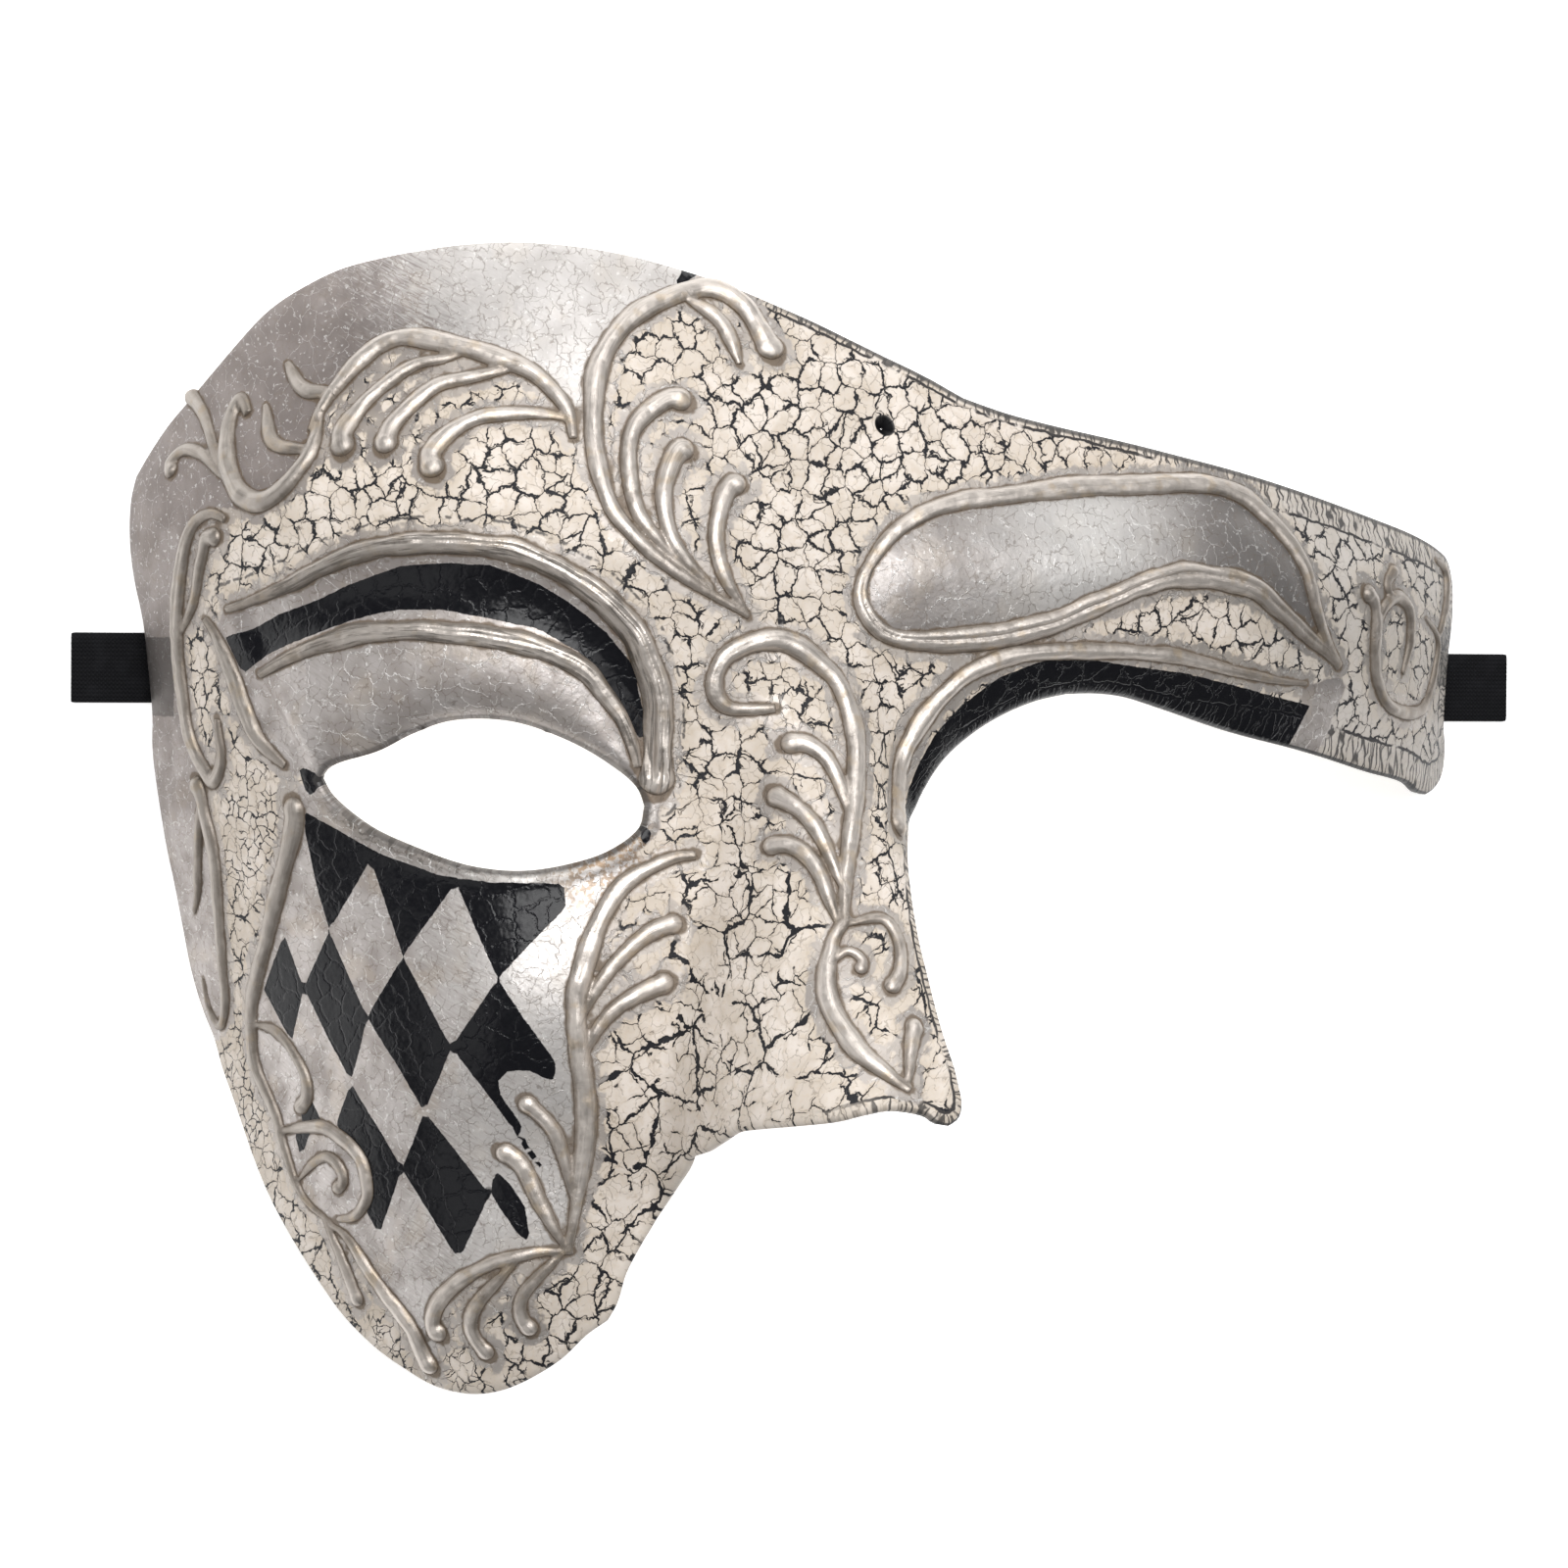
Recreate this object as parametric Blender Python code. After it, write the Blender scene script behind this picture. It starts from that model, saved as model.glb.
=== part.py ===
"""Venetian half mask, lying face up on its rim.

Mask measures are in millimetres: x toward the wearer's left, y up the face, z out of the
face, with the bridge of the nose at the origin. A point of the mask's skin is given by an
angle round the upright axis of the head and a height. The finished pieces are turned and
lowered so that the mask rests on its rim on the floor.
"""
import math

import bpy
import bmesh
import numpy as np
from mathutils import Vector, Matrix
from mathutils.bvhtree import BVHTree
from mathutils.geometry import delaunay_2d_cdt

# ---------------------------------------------------------------- driving dimensions (mm, degrees)
WALL = 1.8                   # moulded wall
AXIS_DEPTH = 85.0            # the head's axis lies this far behind the bridge of the nose
SQUARE_NEAR, SQUARE_FAR = 2.4, 2.8   # how square the head's plan is on each side
NOSE_ROUND = 1.4             # roundness of the nose's ridge
REST_ROLL = 9.33             # turn about Y that lays the rim on the floor
REST_PITCH = -1.43           # turn about X
SCROLL_GAP = 0.35            # skin to the underside of a moulding
SCROLL_RISE = 0.50           # height of a moulding, of its width
BULB = 0.66                  # radius of a scroll's round end, of the stroke's width
TIP = 0.45                   # width of a tapered end, of the stroke's width
SCROLL_STEP = 3.2            # spacing of a moulding's sections
STRAP_WIDTH, STRAP_THICK = 11.0, 1.0
STRAP_CLEAR = 0.6            # wall to strap
PIN_HOLE = dict(angle=10.5, height=57.5, radius=1.4)

# Plan of the head. Columns: height, half width on the near (right) side, on the far side, depth in front of the axis
HEAD = (
    (-92, 60.0, 100.0, 72.5),
    (-84, 63.5, 104.0, 74.5),
    (-70, 68.5, 110.0, 77.5),
    (-50, 72.0, 120.0, 80.0),
    (-30, 75.2, 128.0, 81.2),
    (-10, 78.3, 139.0, 82.0),
    (10, 81.8, 141.5, 83.5),
    (30, 84.5, 142.0, 84.0),
    (45, 85.5, 142.0, 81.0),
    (60, 80.0, 136.0, 76.0),
    (75, 73.0, 128.0, 68.5),
    (90, 60.0, 118.0, 56.0),
)
# Nose. Columns: height, rise in front of the face, half width along the skin
NOSE = (
    (30, 0.0, 12.0),
    (18, 2.0, 13.0),
    (8, 6.0, 15.0),
    (0, 10.5, 17.0),
    (-10, 16.0, 19.5),
    (-20, 22.0, 22.0),
    (-30, 28.5, 24.0),
    (-40, 35.0, 26.0),
    (-48, 38.0, 27.0),
    (-56, 30.0, 27.0),
    (-64, 12.0, 25.0),
    (-72, 0.0, 22.0),
)
# Swells and hollows. Columns: place, arc from the nose, height, half length, half breadth, rise, turn
SWELLS = (
    ("cheekbone", -50, -32, 24, 20, 5.0, 25),
    ("near brow", -42, 42, 34, 12, 3.0, -6),
    ("near eye socket", -47, 6, 24, 14, -3.5, 0),
    ("lower cheek", -48, -70, 18, 14, 3.0, 0),
    ("fold beside the nose", -27, -62, 8, 20, -3.5, -28),
    ("far brow", 55, 36, 46, 9, 3.0, -4),
    ("between the brows", 2, 36, 16, 16, -1.5, 0),
)

# Outline, clockwise from the near temple. Columns of each edge: angle, height
OUTLINE = {
    "near forehead": ((-81.2, 50.5), (-80.0, 53.6), (-77.7, 58.6), (-74.1, 63.5), (-69.5, 70.6), (-66.0, 75.8),
                      (-62.3, 79.3), (-57.6, 82.0), (-51.1, 83.8), (-44.7, 85.0)),
    "top of forehead": ((-44.7, 85.0), (-38.1, 85.6), (-31.5, 85.5), (-24.8, 84.8), (-18.1, 83.3), (-11.4, 81.3),
                        (-5.0, 78.8), (1.2, 75.7), (7.1, 72.3), (12.6, 68.7), (17.8, 65.1), (21.2, 62.3)),
    "far brow": ((21.2, 62.3), (25.7, 60.0), (30.6, 58.2), (36.1, 56.4), (41.4, 54.3), (46.3, 52.2), (49.6, 50.5),
                 (53.6, 48.2), (58.0, 45.6), (62.2, 43.4), (65.8, 41.5)),
    "far tab": ((65.8, 41.5), (68.1, 40.0), (69.2, 36.5), (69.0, 31.0), (68.3, 26.0), (68.2, 19.0), (68.4, 13.0),
                (70.0, 8.8), (69.5, 5.0), (67.6, 2.4), (65.3, 1.2)),
    "under far brow": ((65.3, 1.2), (63.4, 1.7), (61.7, 3.1), (57.0, 4.8), (51.8, 7.3), (47.0, 9.5), (42.4, 11.8),
                       (37.7, 14.3), (33.9, 16.1), (31.0, 16.6), (28.1, 16.5)),
    "far eye": ((28.1, 16.5), (25.2, 15.5), (22.2, 13.7), (19.1, 11.1), (16.6, 8.2), (14.5, 5.2), (12.5, 1.2),
                (11.2, -2.3), (9.4, -5.4)),
    "far side of nose": ((9.4, -5.4), (6.9, -8.8), (5.4, -13.8), (4.7, -18.9), (4.4, -23.9), (4.1, -29.6),
                         (4.0, -35.2), (4.1, -40.2), (3.9, -43.7), (3.2, -46.0), (2.3, -47.0)),
    "foot of nose": ((2.3, -47.0), (1.3, -46.6), (0.4, -45.1), (-2.1, -44.2), (-4.2, -45.0), (-6.0, -46.2),
                     (-10.3, -47.9), (-11.4, -48.5), (-12.3, -50.1), (-13.3, -51.9), (-14.3, -52.8)),
    "front of cheek": ((-14.3, -52.8), (-14.6, -54.9), (-16.9, -62.5), (-18.5, -66.2), (-20.2, -70.6), (-21.2, -75.0),
                       (-22.3, -77.7)),
    "chin": ((-22.3, -77.7), (-24.5, -79.8), (-27.9, -84.0), (-33.9, -88.3), (-37.7, -89.4), (-40.9, -89.3),
             (-44.3, -88.3), (-48.2, -85.9), (-52.3, -82.8), (-56.3, -78.5), (-59.5, -73.4)),
    "jaw": ((-59.5, -73.4), (-62.8, -67.8), (-66.5, -60.9), (-69.7, -53.5), (-72.1, -46.1), (-73.9, -40.9),
            (-75.1, -36.4), (-77.1, -32.4), (-78.5, -27.4), (-79.4, -19.8)),
    "near temple": ((-79.4, -19.8), (-80.4, -12.2), (-81.1, -4.7), (-81.0, 2.9), (-80.6, 8.5), (-79.3, 14.0),
                    (-79.0, 20.5), (-79.2, 27.5), (-80.2, 33.2), (-80.5, 42.2), (-81.0, 47.5), (-81.2, 50.5)),
}
# Near eye hole. Columns of each lid: angle, height
EYE = {
    "upper lid": ((-18.6, -0.3), (-19.4, 2.5), (-22.4, 6.0), (-26.4, 9.2), (-32.4, 12.1), (-38.3, 12.2), (-42.4, 10.3),
                  (-46.1, 7.8), (-51.9, 5.3), (-52.8, 3.6)),
    "lower lid": ((-52.8, 3.6), (-51.8, 1.2), (-47.4, -3.4), (-42.5, -6.3), (-36.2, -9.2), (-31.2, -9.9), (-26.4, -8.9),
                  (-22.4, -7.0), (-19.2, -3.6), (-18.6, -0.3)),
}

# Raised scrolls. Columns: piece, width, round end, path as rows of (angle, height)
SCROLLS = (
    ("forehead_scroll", 2.8, "start", ((-1.6, 67.4), (-4.4, 75.3), (-7.1, 77.9), (-10.2, 78.3), (-18.5, 74.1), (-21.7, 69.9),
                                       (-23.4, 65.5), (-23.9, 60.0), (-23.5, 51.3), (-21.4, 42.5), (-17.2, 36.2), (-8.0, 27.8))),
    ("forehead_scroll", 1.9, "none", ((-12.3, 76.6), (-8.1, 73.0), (-6.6, 66.3))),
    ("forehead_scroll", 2.4, "start", ((-13.1, 59.8), (-15.1, 60.9), (-19.5, 56.6), (-19.7, 44.3), (-17.4, 39.1), (-14.8, 34.9))),
    ("forehead_scroll", 2.4, "start", ((-13.3, 52.1), (-14.6, 53.0), (-16.6, 47.4), (-16.1, 39.5), (-11.8, 32.0))),
    ("forehead_scroll", 2.4, "start", ((-7.7, 47.9), (-9.4, 47.6), (-11.4, 41.0), (-10.4, 33.2), (-8.2, 28.4))),
    ("brow_fan_scroll", 2.5, "none", ((-63.2, 59.0), (-65.2, 61.6), (-65.8, 58.6), (-64.7, 54.0), (-62.7, 49.3), (-60.6, 46.3),
                                      (-58.1, 45.4), (-55.8, 47.1), (-54.0, 50.3), (-53.2, 53.0), (-53.4, 59.0))),
    ("brow_fan_scroll", 2.5, "none", ((-53.8, 56.0), (-53.0, 60.4), (-50.1, 66.5), (-48.2, 69.0), (-45.7, 70.1), (-43.0, 69.8),
                                      (-39.1, 68.8), (-35.4, 67.4), (-31.3, 65.1), (-28.8, 62.5), (-26.8, 59.0), (-26.0, 54.4))),
    ("brow_fan_scroll", 2.4, "end", ((-37.6, 68.2), (-40.4, 66.7), (-43.9, 65.8), (-48.8, 59.3), (-50.0, 55.4), (-49.2, 52.1))),
    ("brow_fan_scroll", 2.4, "end", ((-31.9, 65.4), (-37.6, 63.9), (-40.6, 62.7), (-43.1, 59.8), (-45.0, 55.7), (-45.0, 52.3))),
    ("brow_fan_scroll", 2.4, "end", ((-26.6, 57.4), (-29.6, 58.4), (-36.0, 57.5), (-38.7, 55.2), (-40.1, 52.2), (-39.2, 48.6))),
    ("brow_fan_scroll", 1.8, "start", ((-75.3, 63.0), (-70.8, 59.5), (-64.0, 49.8))),
    ("brow_fan_scroll", 1.8, "start", ((-72.6, 50.2), (-73.8, 52.2), (-72.2, 53.9), (-69.2, 53.4), (-63.6, 49.0))),
    ("brow_fan_scroll", 1.8, "none", ((-59.6, 66.9), (-56.0, 62.5), (-52.2, 61.9))),
    ("brow_fan_scroll", 1.8, "none", ((-60.9, 60.4), (-58.1, 54.4), (-53.4, 53.0))),
    ("brow_arch_rib", 3.2, "end", ((-63.4, 30.2), (-60.0, 31.3), (-55.6, 33.4), (-51.7, 35.6), (-48.0, 37.6), (-44.5, 39.0),
                                   (-41.2, 39.6), (-38.0, 39.6), (-33.6, 39.0), (-30.2, 37.8), (-24.4, 33.2), (-19.6, 26.3),
                                   (-18.1, 21.9), (-17.0, 17.5), (-16.6, 13.2), (-16.8, 4.4), (-17.0, 1.2))),
    ("eyelid_rib", 2.1, "none", ((-59.3, 19.6), (-54.5, 22.5), (-50.7, 24.2), (-46.6, 25.6), (-42.9, 25.9), (-38.6, 25.8),
                                 (-30.1, 23.8), (-24.7, 20.0), (-22.9, 16.8), (-21.0, 13.2), (-19.9, 9.2), (-19.3, 5.4))),
    ("temple_rib", 1.9, "none", ((-66.6, 28.0), (-65.0, 25.3), (-62.8, 18.9), (-60.6, 10.8), (-58.8, 7.8), (-56.9, 5.6))),
    ("side_scroll_upper", 2.1, "none", ((-62.7, 43.0), (-64.8, 43.8), (-67.2, 42.6), (-70.6, 33.3), (-71.9, 18.4), (-71.0, 8.9),
                                        (-69.2, 4.9), (-68.2, 3.4), (-66.5, 5.9), (-66.1, 12.9))),
    ("side_scroll_upper", 1.8, "start", ((-63.4, 40.0), (-65.2, 40.3), (-66.2, 37.6), (-68.4, 30.5), (-71.2, 25.5))),
    ("side_scroll_lower", 2.1, "start", ((-71.7, 4.0), (-70.7, 1.8), (-70.4, -1.5), (-70.0, -5.0), (-69.8, -9.5), (-70.5, -24.6),
                                         (-70.8, -30.2), (-72.8, -34.2), (-75.2, -31.6), (-75.8, -27.0))),
    ("side_scroll_lower", 1.5, "none", ((-70.9, 1.2), (-72.2, -4.1), (-73.3, -9.6), (-74.0, -13.6), (-75.6, -17.0))),
    ("cheek_outer_scroll", 2.6, "start", ((-56.4, 1.0), (-56.2, -2.0), (-57.0, -5.6), (-60.7, -17.4), (-65.3, -29.5), (-66.0, -33.0),
                                          (-66.1, -40.7), (-63.0, -48.3), (-62.3, -52.5), (-59.8, -60.0), (-55.6, -63.6))),
    ("cheek_outer_scroll", 1.9, "end", ((-65.9, -33.7), (-61.5, -34.8), (-57.7, -40.3), (-57.5, -44.4), (-59.4, -46.6))),
    ("cheek_outer_scroll", 1.9, "none", ((-62.2, -49.8), (-57.4, -49.1), (-55.2, -49.0), (-52.2, -50.9), (-50.3, -53.4), (-49.7, -56.5),
                                         (-49.8, -59.5), (-51.8, -62.3), (-54.4, -63.0))),
    ("cheek_outer_scroll", 1.7, "end", ((-60.6, -57.6), (-57.8, -55.0), (-54.9, -53.6), (-53.2, -55.3), (-53.0, -57.3), (-54.6, -58.6))),
    ("cheek_outer_scroll", 2.4, "end", ((-55.9, -63.6), (-53.5, -65.4), (-49.6, -72.4), (-45.7, -79.4), (-44.8, -82.9), (-43.4, -86.2))),
    ("cheek_outer_scroll", 1.9, "end", ((-56.4, -63.4), (-55.2, -66.8), (-52.9, -76.4))),
    ("cheek_inner_scroll", 2.8, "none", ((-13.3, -7.6), (-15.4, -7.9), (-21.1, -12.4), (-25.3, -26.5), (-25.5, -31.4), (-25.1, -39.0),
                                         (-24.7, -47.2), (-25.2, -55.9), (-26.6, -67.1))),
    ("cheek_inner_scroll", 2.4, "start", ((-14.7, -18.0), (-16.1, -18.0), (-19.3, -20.4), (-23.4, -26.9), (-25.3, -32.7))),
    ("cheek_inner_scroll", 2.4, "start", ((-15.8, -26.0), (-21.4, -30.0), (-24.4, -35.8), (-25.1, -38.7))),
    ("cheek_inner_scroll", 2.4, "start", ((-31.1, -43.6), (-27.8, -49.2), (-25.9, -59.4))),
    ("cheek_inner_scroll", 2.4, "start", ((-33.8, -51.3), (-31.7, -53.2), (-29.0, -60.4), (-26.7, -67.0))),
    ("cheek_inner_scroll", 2.4, "end", ((-26.0, -67.0), (-29.3, -66.9), (-36.2, -69.7), (-41.6, -75.4), (-42.6, -78.6), (-41.4, -80.9))),
    ("cheek_inner_scroll", 2.1, "end", ((-31.4, -67.7), (-37.3, -76.5), (-37.6, -80.0), (-35.8, -83.6))),
    ("cheek_inner_scroll", 2.1, "end", ((-26.9, -66.8), (-31.5, -73.9), (-31.8, -76.9), (-30.5, -79.6))),
    ("nose_scroll", 2.5, "none", ((-5.3, 14.2), (-7.8, 13.9), (-10.1, 14.2), (-11.5, 16.4), (-11.4, 19.8), (-9.9, 22.6), (-4.6, 24.6),
                                  (0.6, 19.9), (2.0, 15.9), (2.5, 11.5), (1.2, 1.8), (-1.2, -9.4), (-2.6, -17.6))),
    ("nose_scroll", 2.2, "start", ((-5.2, 8.8), (-3.2, 9.1), (-1.5, 7.5), (-0.4, 4.1), (0.1, -2.6))),
    ("nose_scroll", 2.2, "start", ((-6.6, 1.8), (-3.9, -1.6), (-1.9, -13.3))),
    ("nose_scroll", 2.2, "start", ((-7.5, -6.5), (-5.7, -6.1), (-4.2, -8.2), (-2.9, -18.2))),
    ("nose_scroll", 2.4, "none", ((-2.0, -16.6), (-3.6, -19.9), (-4.9, -28.0), (-3.6, -36.1), (-2.3, -38.8), (-0.4, -41.6))),
    ("nose_scroll", 1.8, "end", ((-3.2, -17.9), (0.9, -16.9), (1.9, -19.9), (1.3, -24.6), (-0.3, -27.6))),
    ("nose_scroll", 1.5, "end", ((-4.6, -23.6), (-2.8, -21.6), (-1.8, -23.0), (-2.4, -25.0))),
    ("nose_scroll", 2.0, "start", ((1.5, -31.6), (0.5, -34.9), (-0.6, -41.0))),
    ("far_brow_loop", 2.5, "none", ((52.5, 21.3), (50.9, 25.3), (49.1, 32.0), (48.2, 39.9), (47.2, 44.5), (45.8, 48.0), (43.0, 49.5),
                                    (36.8, 49.2), (30.3, 48.5), (23.2, 47.1), (17.3, 46.0), (12.3, 43.9), (8.1, 40.0), (5.2, 34.7))),
    ("far_brow_loop", 2.5, "none", ((6.6, 37.8), (5.0, 33.6), (4.9, 30.1), (6.7, 26.1), (10.0, 24.6), (20.0, 25.6), (24.6, 27.4),
                                    (29.0, 30.5), (32.9, 33.4), (37.3, 35.2), (43.1, 33.7), (45.6, 30.5), (48.2, 27.2), (52.2, 22.2))),
    ("far_eye_arch", 2.2, "start", ((5.6, -4.4), (8.6, 4.4), (10.2, 9.0), (12.0, 13.3), (14.7, 17.6), (17.9, 20.6), (21.4, 22.6),
                                    (25.6, 23.3), (36.0, 22.9), (40.1, 21.6), (44.2, 20.0), (47.6, 19.0), (49.6, 18.6))),
    ("far_temple_scroll", 1.8, "start", ((54.2, 33.9), (55.2, 32.1), (55.6, 29.4), (56.7, 19.8), (58.7, 15.1), (62.2, 14.6),
                                         (63.7, 16.8), (64.4, 26.4), (61.9, 29.6))),
    ("far_temple_scroll", 1.6, "none", ((55.8, 26.4), (56.5, 31.2), (58.0, 32.8), (59.3, 31.4), (60.1, 25.5), (59.6, 20.5))),
    ("far_temple_scroll", 1.6, "start", ((58.4, 37.4), (57.0, 34.6), (57.4, 32.2))),
    ("far_temple_scroll", 1.5, "none", ((64.9, 39.3), (66.3, 37.9), (66.2, 33.1), (64.4, 26.2))),
)

# Straps: the stretch along the wall inside, then out under the rim along the floor.
# Columns: piece, angles up the wall, height, side of the mask, free length beyond the rim
STRAPS = (
    ("strap_right", (-67.5, -70.0, -72.5, -75.0, -76.6), 20.4, -1, 11.4),
    ("strap_left", (56.5, 59.5, 62.5, 65.0, 66.4), 18.3, 1, 12.1),
)

# Colours. Columns: piece group, red, green, blue, roughness
PAINT = {
    "mask_shell": (0.72, 0.66, 0.57, 0.45),
    "strap": (0.015, 0.015, 0.017, 0.80),
    "brow_arch_rib": (0.50, 0.45, 0.37, 0.35),
    "scroll": (0.55, 0.50, 0.41, 0.35),
}


# ---------------------------------------------------------------- the skin
def column(table, number, height):
    """Smooth curve through one column of a table whose first column is the height."""
    rows = sorted(table)
    x = np.array([row[0] for row in rows], float)
    y = np.array([row[number] for row in rows], float)
    slope = np.gradient(y, x)
    height = np.clip(height, x[0], x[-1])
    i = np.clip(np.searchsorted(x, height) - 1, 0, len(x) - 2)
    step = x[i + 1] - x[i]
    t = (height - x[i]) / step
    return ((2 * t**3 - 3 * t**2 + 1) * y[i] + (t**3 - 2 * t**2 + t) * step * slope[i]
            + (3 * t**2 - 2 * t**3) * y[i + 1] + (t**3 - t**2) * step * slope[i + 1])


def radius(angle, height):
    """Distance of the skin from the head's axis."""
    turn = np.radians(angle)
    arc = AXIS_DEPTH * turn
    half = np.where(angle < 0, column(HEAD, 1, height), column(HEAD, 2, height))
    power = np.where(angle < 0, SQUARE_NEAR, SQUARE_FAR)
    r = (np.abs(np.sin(turn) / half) ** power + np.abs(np.cos(turn) / column(HEAD, 3, height)) ** power) ** (-1 / power)
    across = np.clip(np.abs(arc) / column(NOSE, 2, height), 0, 1)
    r = r + column(NOSE, 1, height) * np.cos(np.pi * across ** NOSE_ROUND / 2) ** 2
    for _, arc0, height0, length, breadth, rise, swing in SWELLS:
        c, s = math.cos(math.radians(swing)), math.sin(math.radians(swing))
        u, v = (arc - arc0) * c + (height - height0) * s, (height - height0) * c - (arc - arc0) * s
        r = r + rise * np.exp(-(u / length) ** 2 - (v / breadth) ** 2)
    return r


def skin(angle, height):
    angle, height = np.broadcast_arrays(np.asarray(angle, float), np.asarray(height, float))
    r, turn = radius(angle, height), np.radians(angle)
    return np.stack([r * np.sin(turn), height, r * np.cos(turn) - AXIS_DEPTH], -1)


def outward(angle, height):
    """Unit normal of the skin."""
    e = 0.15
    n = np.cross(skin(angle + e, height) - skin(angle - e, height), skin(angle, height + e) - skin(angle, height - e))
    return n / np.linalg.norm(n, axis=-1, keepdims=True)


def smooth_path(rows, spacing):
    """Evenly spaced points (angle, height) on a smooth curve through the rows."""
    p = np.array(rows, float)
    m = len(p)
    ends = np.vstack([2 * p[0] - p[1], p, 2 * p[-1] - p[-2]])
    fine = []
    for i in range(m - 1):
        a, b, c, d = ends[i:i + 4]
        knots = [0.0]
        for q, r in ((a, b), (b, c), (c, d)):
            knots.append(knots[-1] + max(np.hypot(*(r - q)) ** 0.5, 1e-6))
        t = np.linspace(knots[1], knots[2], 24, endpoint=False)[:, None]
        mix = lambda u, v, i0, i1: u + (v - u) * (t - knots[i0]) / (knots[i1] - knots[i0])
        ab, bc, cd = mix(a, b, 0, 1), mix(b, c, 1, 2), mix(c, d, 2, 3)
        fine.append(mix(mix(ab, bc, 0, 2), mix(bc, cd, 1, 3), 1, 2))
    fine = np.vstack(fine + [p[-1:]])
    run = np.r_[0, np.cumsum(np.linalg.norm(np.diff(skin(fine[:, 0], fine[:, 1]), axis=0), axis=1))]
    count = max(3, int(round(run[-1] / spacing)) + 1)
    return fine, run, count


def sample(rows, spacing):
    fine, run, count = smooth_path(rows, spacing)
    at = np.linspace(0, run[-1], count)
    return np.stack([np.interp(at, run, fine[:, k]) for k in (0, 1)], -1)


def loop(edges, spacing):
    return np.vstack([sample(rows, spacing)[:-1] for rows in edges.values()])


def inside(points, ring):
    x, y = points[:, 0], points[:, 1]
    hit = np.zeros(len(points), bool)
    for (x1, y1), (x2, y2) in zip(ring, np.roll(ring, -1, axis=0)):
        if y1 != y2:
            hit ^= ((y1 > y) != (y2 > y)) & (x < (x2 - x1) * (y - y1) / (y2 - y1) + x1)
    return hit


def clearance(points, ring):
    a, b = ring, np.roll(ring, -1, axis=0)
    ab = b - a
    t = np.clip(((points[:, None] - a) * ab).sum(-1) / np.maximum((ab ** 2).sum(-1), 1e-9), 0, 1)
    return np.linalg.norm(points[:, None] - (a + t[..., None] * ab), axis=-1).min(1)


# ---------------------------------------------------------------- helpers
def rest(points):
    """Turn mask millimetres into the resting pose, still in millimetres."""
    turn = Matrix.Rotation(math.radians(REST_PITCH), 3, "X") @ Matrix.Rotation(math.radians(REST_ROLL), 3, "Y")
    return np.asarray(points) @ np.array(turn).T


def paint(name):
    group = name if name in PAINT else "strap" if name.startswith("strap") else "scroll"
    red, green, blue, rough = PAINT[group]
    material = bpy.data.materials.new(name + "_paint")
    material.use_nodes = True
    shader = material.node_tree.nodes["Principled BSDF"]
    shader.inputs["Base Color"].default_value = (red, green, blue, 1.0)
    shader.inputs["Roughness"].default_value = rough
    return material


def solid(name, points, faces, smooth=True):
    """A piece from points in millimetres, already in the resting pose."""
    mesh = bpy.data.meshes.new(name)
    mesh.from_pydata([tuple(p) for p in np.asarray(points) * 0.001], [], [tuple(int(i) for i in f) for f in faces])
    mesh.validate()
    work = bmesh.new()
    work.from_mesh(mesh)
    bmesh.ops.recalc_face_normals(work, faces=work.faces)
    bmesh.ops.triangulate(work, faces=work.faces)
    work.to_mesh(mesh)
    work.free()
    for polygon in mesh.polygons:
        polygon.use_smooth = smooth
    thing = bpy.data.objects.new(name, mesh)
    bpy.context.scene.collection.objects.link(thing)
    return thing


# ---------------------------------------------------------------- pieces
def make_shell():
    rim = loop(OUTLINE, 3.6)
    eye = loop(EYE, 2.6)
    around = np.radians(np.arange(0, 360, 36))
    pin = np.stack([PIN_HOLE["angle"] + np.degrees(PIN_HOLE["radius"] / (AXIS_DEPTH - 5)) * np.cos(around),
                    PIN_HOLE["height"] + PIN_HOLE["radius"] * np.sin(around)], -1)
    # Rows of points between the edges. Columns: from angle, to angle, step
    bands = ((-80, -18, 2.9), (-17.5, 17.5, 1.45), (19, 70, 3.3))
    field = []
    for start, stop, step in bands:
        for k, angle in enumerate(np.arange(start, stop, step)):
            for height in np.arange(-90 + (k % 2) * 2.1, 88, 4.2):
                field.append((angle, height))
    field = np.array(field)
    arc = lambda p: np.stack([np.radians(p[:, 0]) * AXIS_DEPTH, p[:, 1]], -1)
    keep = inside(field, rim) & ~inside(field, eye)
    for ring, near in ((rim, 1.9), (eye, 1.7), (pin, 1.5)):
        keep &= clearance(arc(field), arc(ring)) > near
    field = field[keep]
    plane = np.vstack([rim, eye, pin, field])
    starts = (0, len(rim), len(rim) + len(eye))
    sides = [(s + i, s + (i + 1) % len(r)) for s, r in zip(starts, (rim, eye, pin)) for i in range(len(r))]
    verts, _, faces, *_ = delaunay_2d_cdt([Vector(p) for p in arc(plane)], sides, [], 0, 1e-5)
    if len(verts) != len(plane):
        raise ValueError("the skin's triangles don't use the given points")
    faces = np.array([tuple(f) for f in faces])
    middle = plane[faces].mean(1)
    faces = faces[inside(middle, rim) & ~inside(middle, eye) & ~inside(middle, pin)]
    outer = skin(plane[:, 0], plane[:, 1])
    inner = outer - WALL * outward(plane[:, 0], plane[:, 1])
    n = len(plane)
    all_faces = [tuple(f) for f in faces] + [tuple(n + i for i in reversed(f)) for f in faces]
    used = {}
    for a, b, c in faces:
        for i, j in ((a, b), (b, c), (c, a)):
            used[(i, j)] = True
    for i, j in list(used):
        if (j, i) not in used:
            all_faces.append((j, i, n + i, n + j))
    return rest(np.vstack([outer, inner])), all_faces


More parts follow.
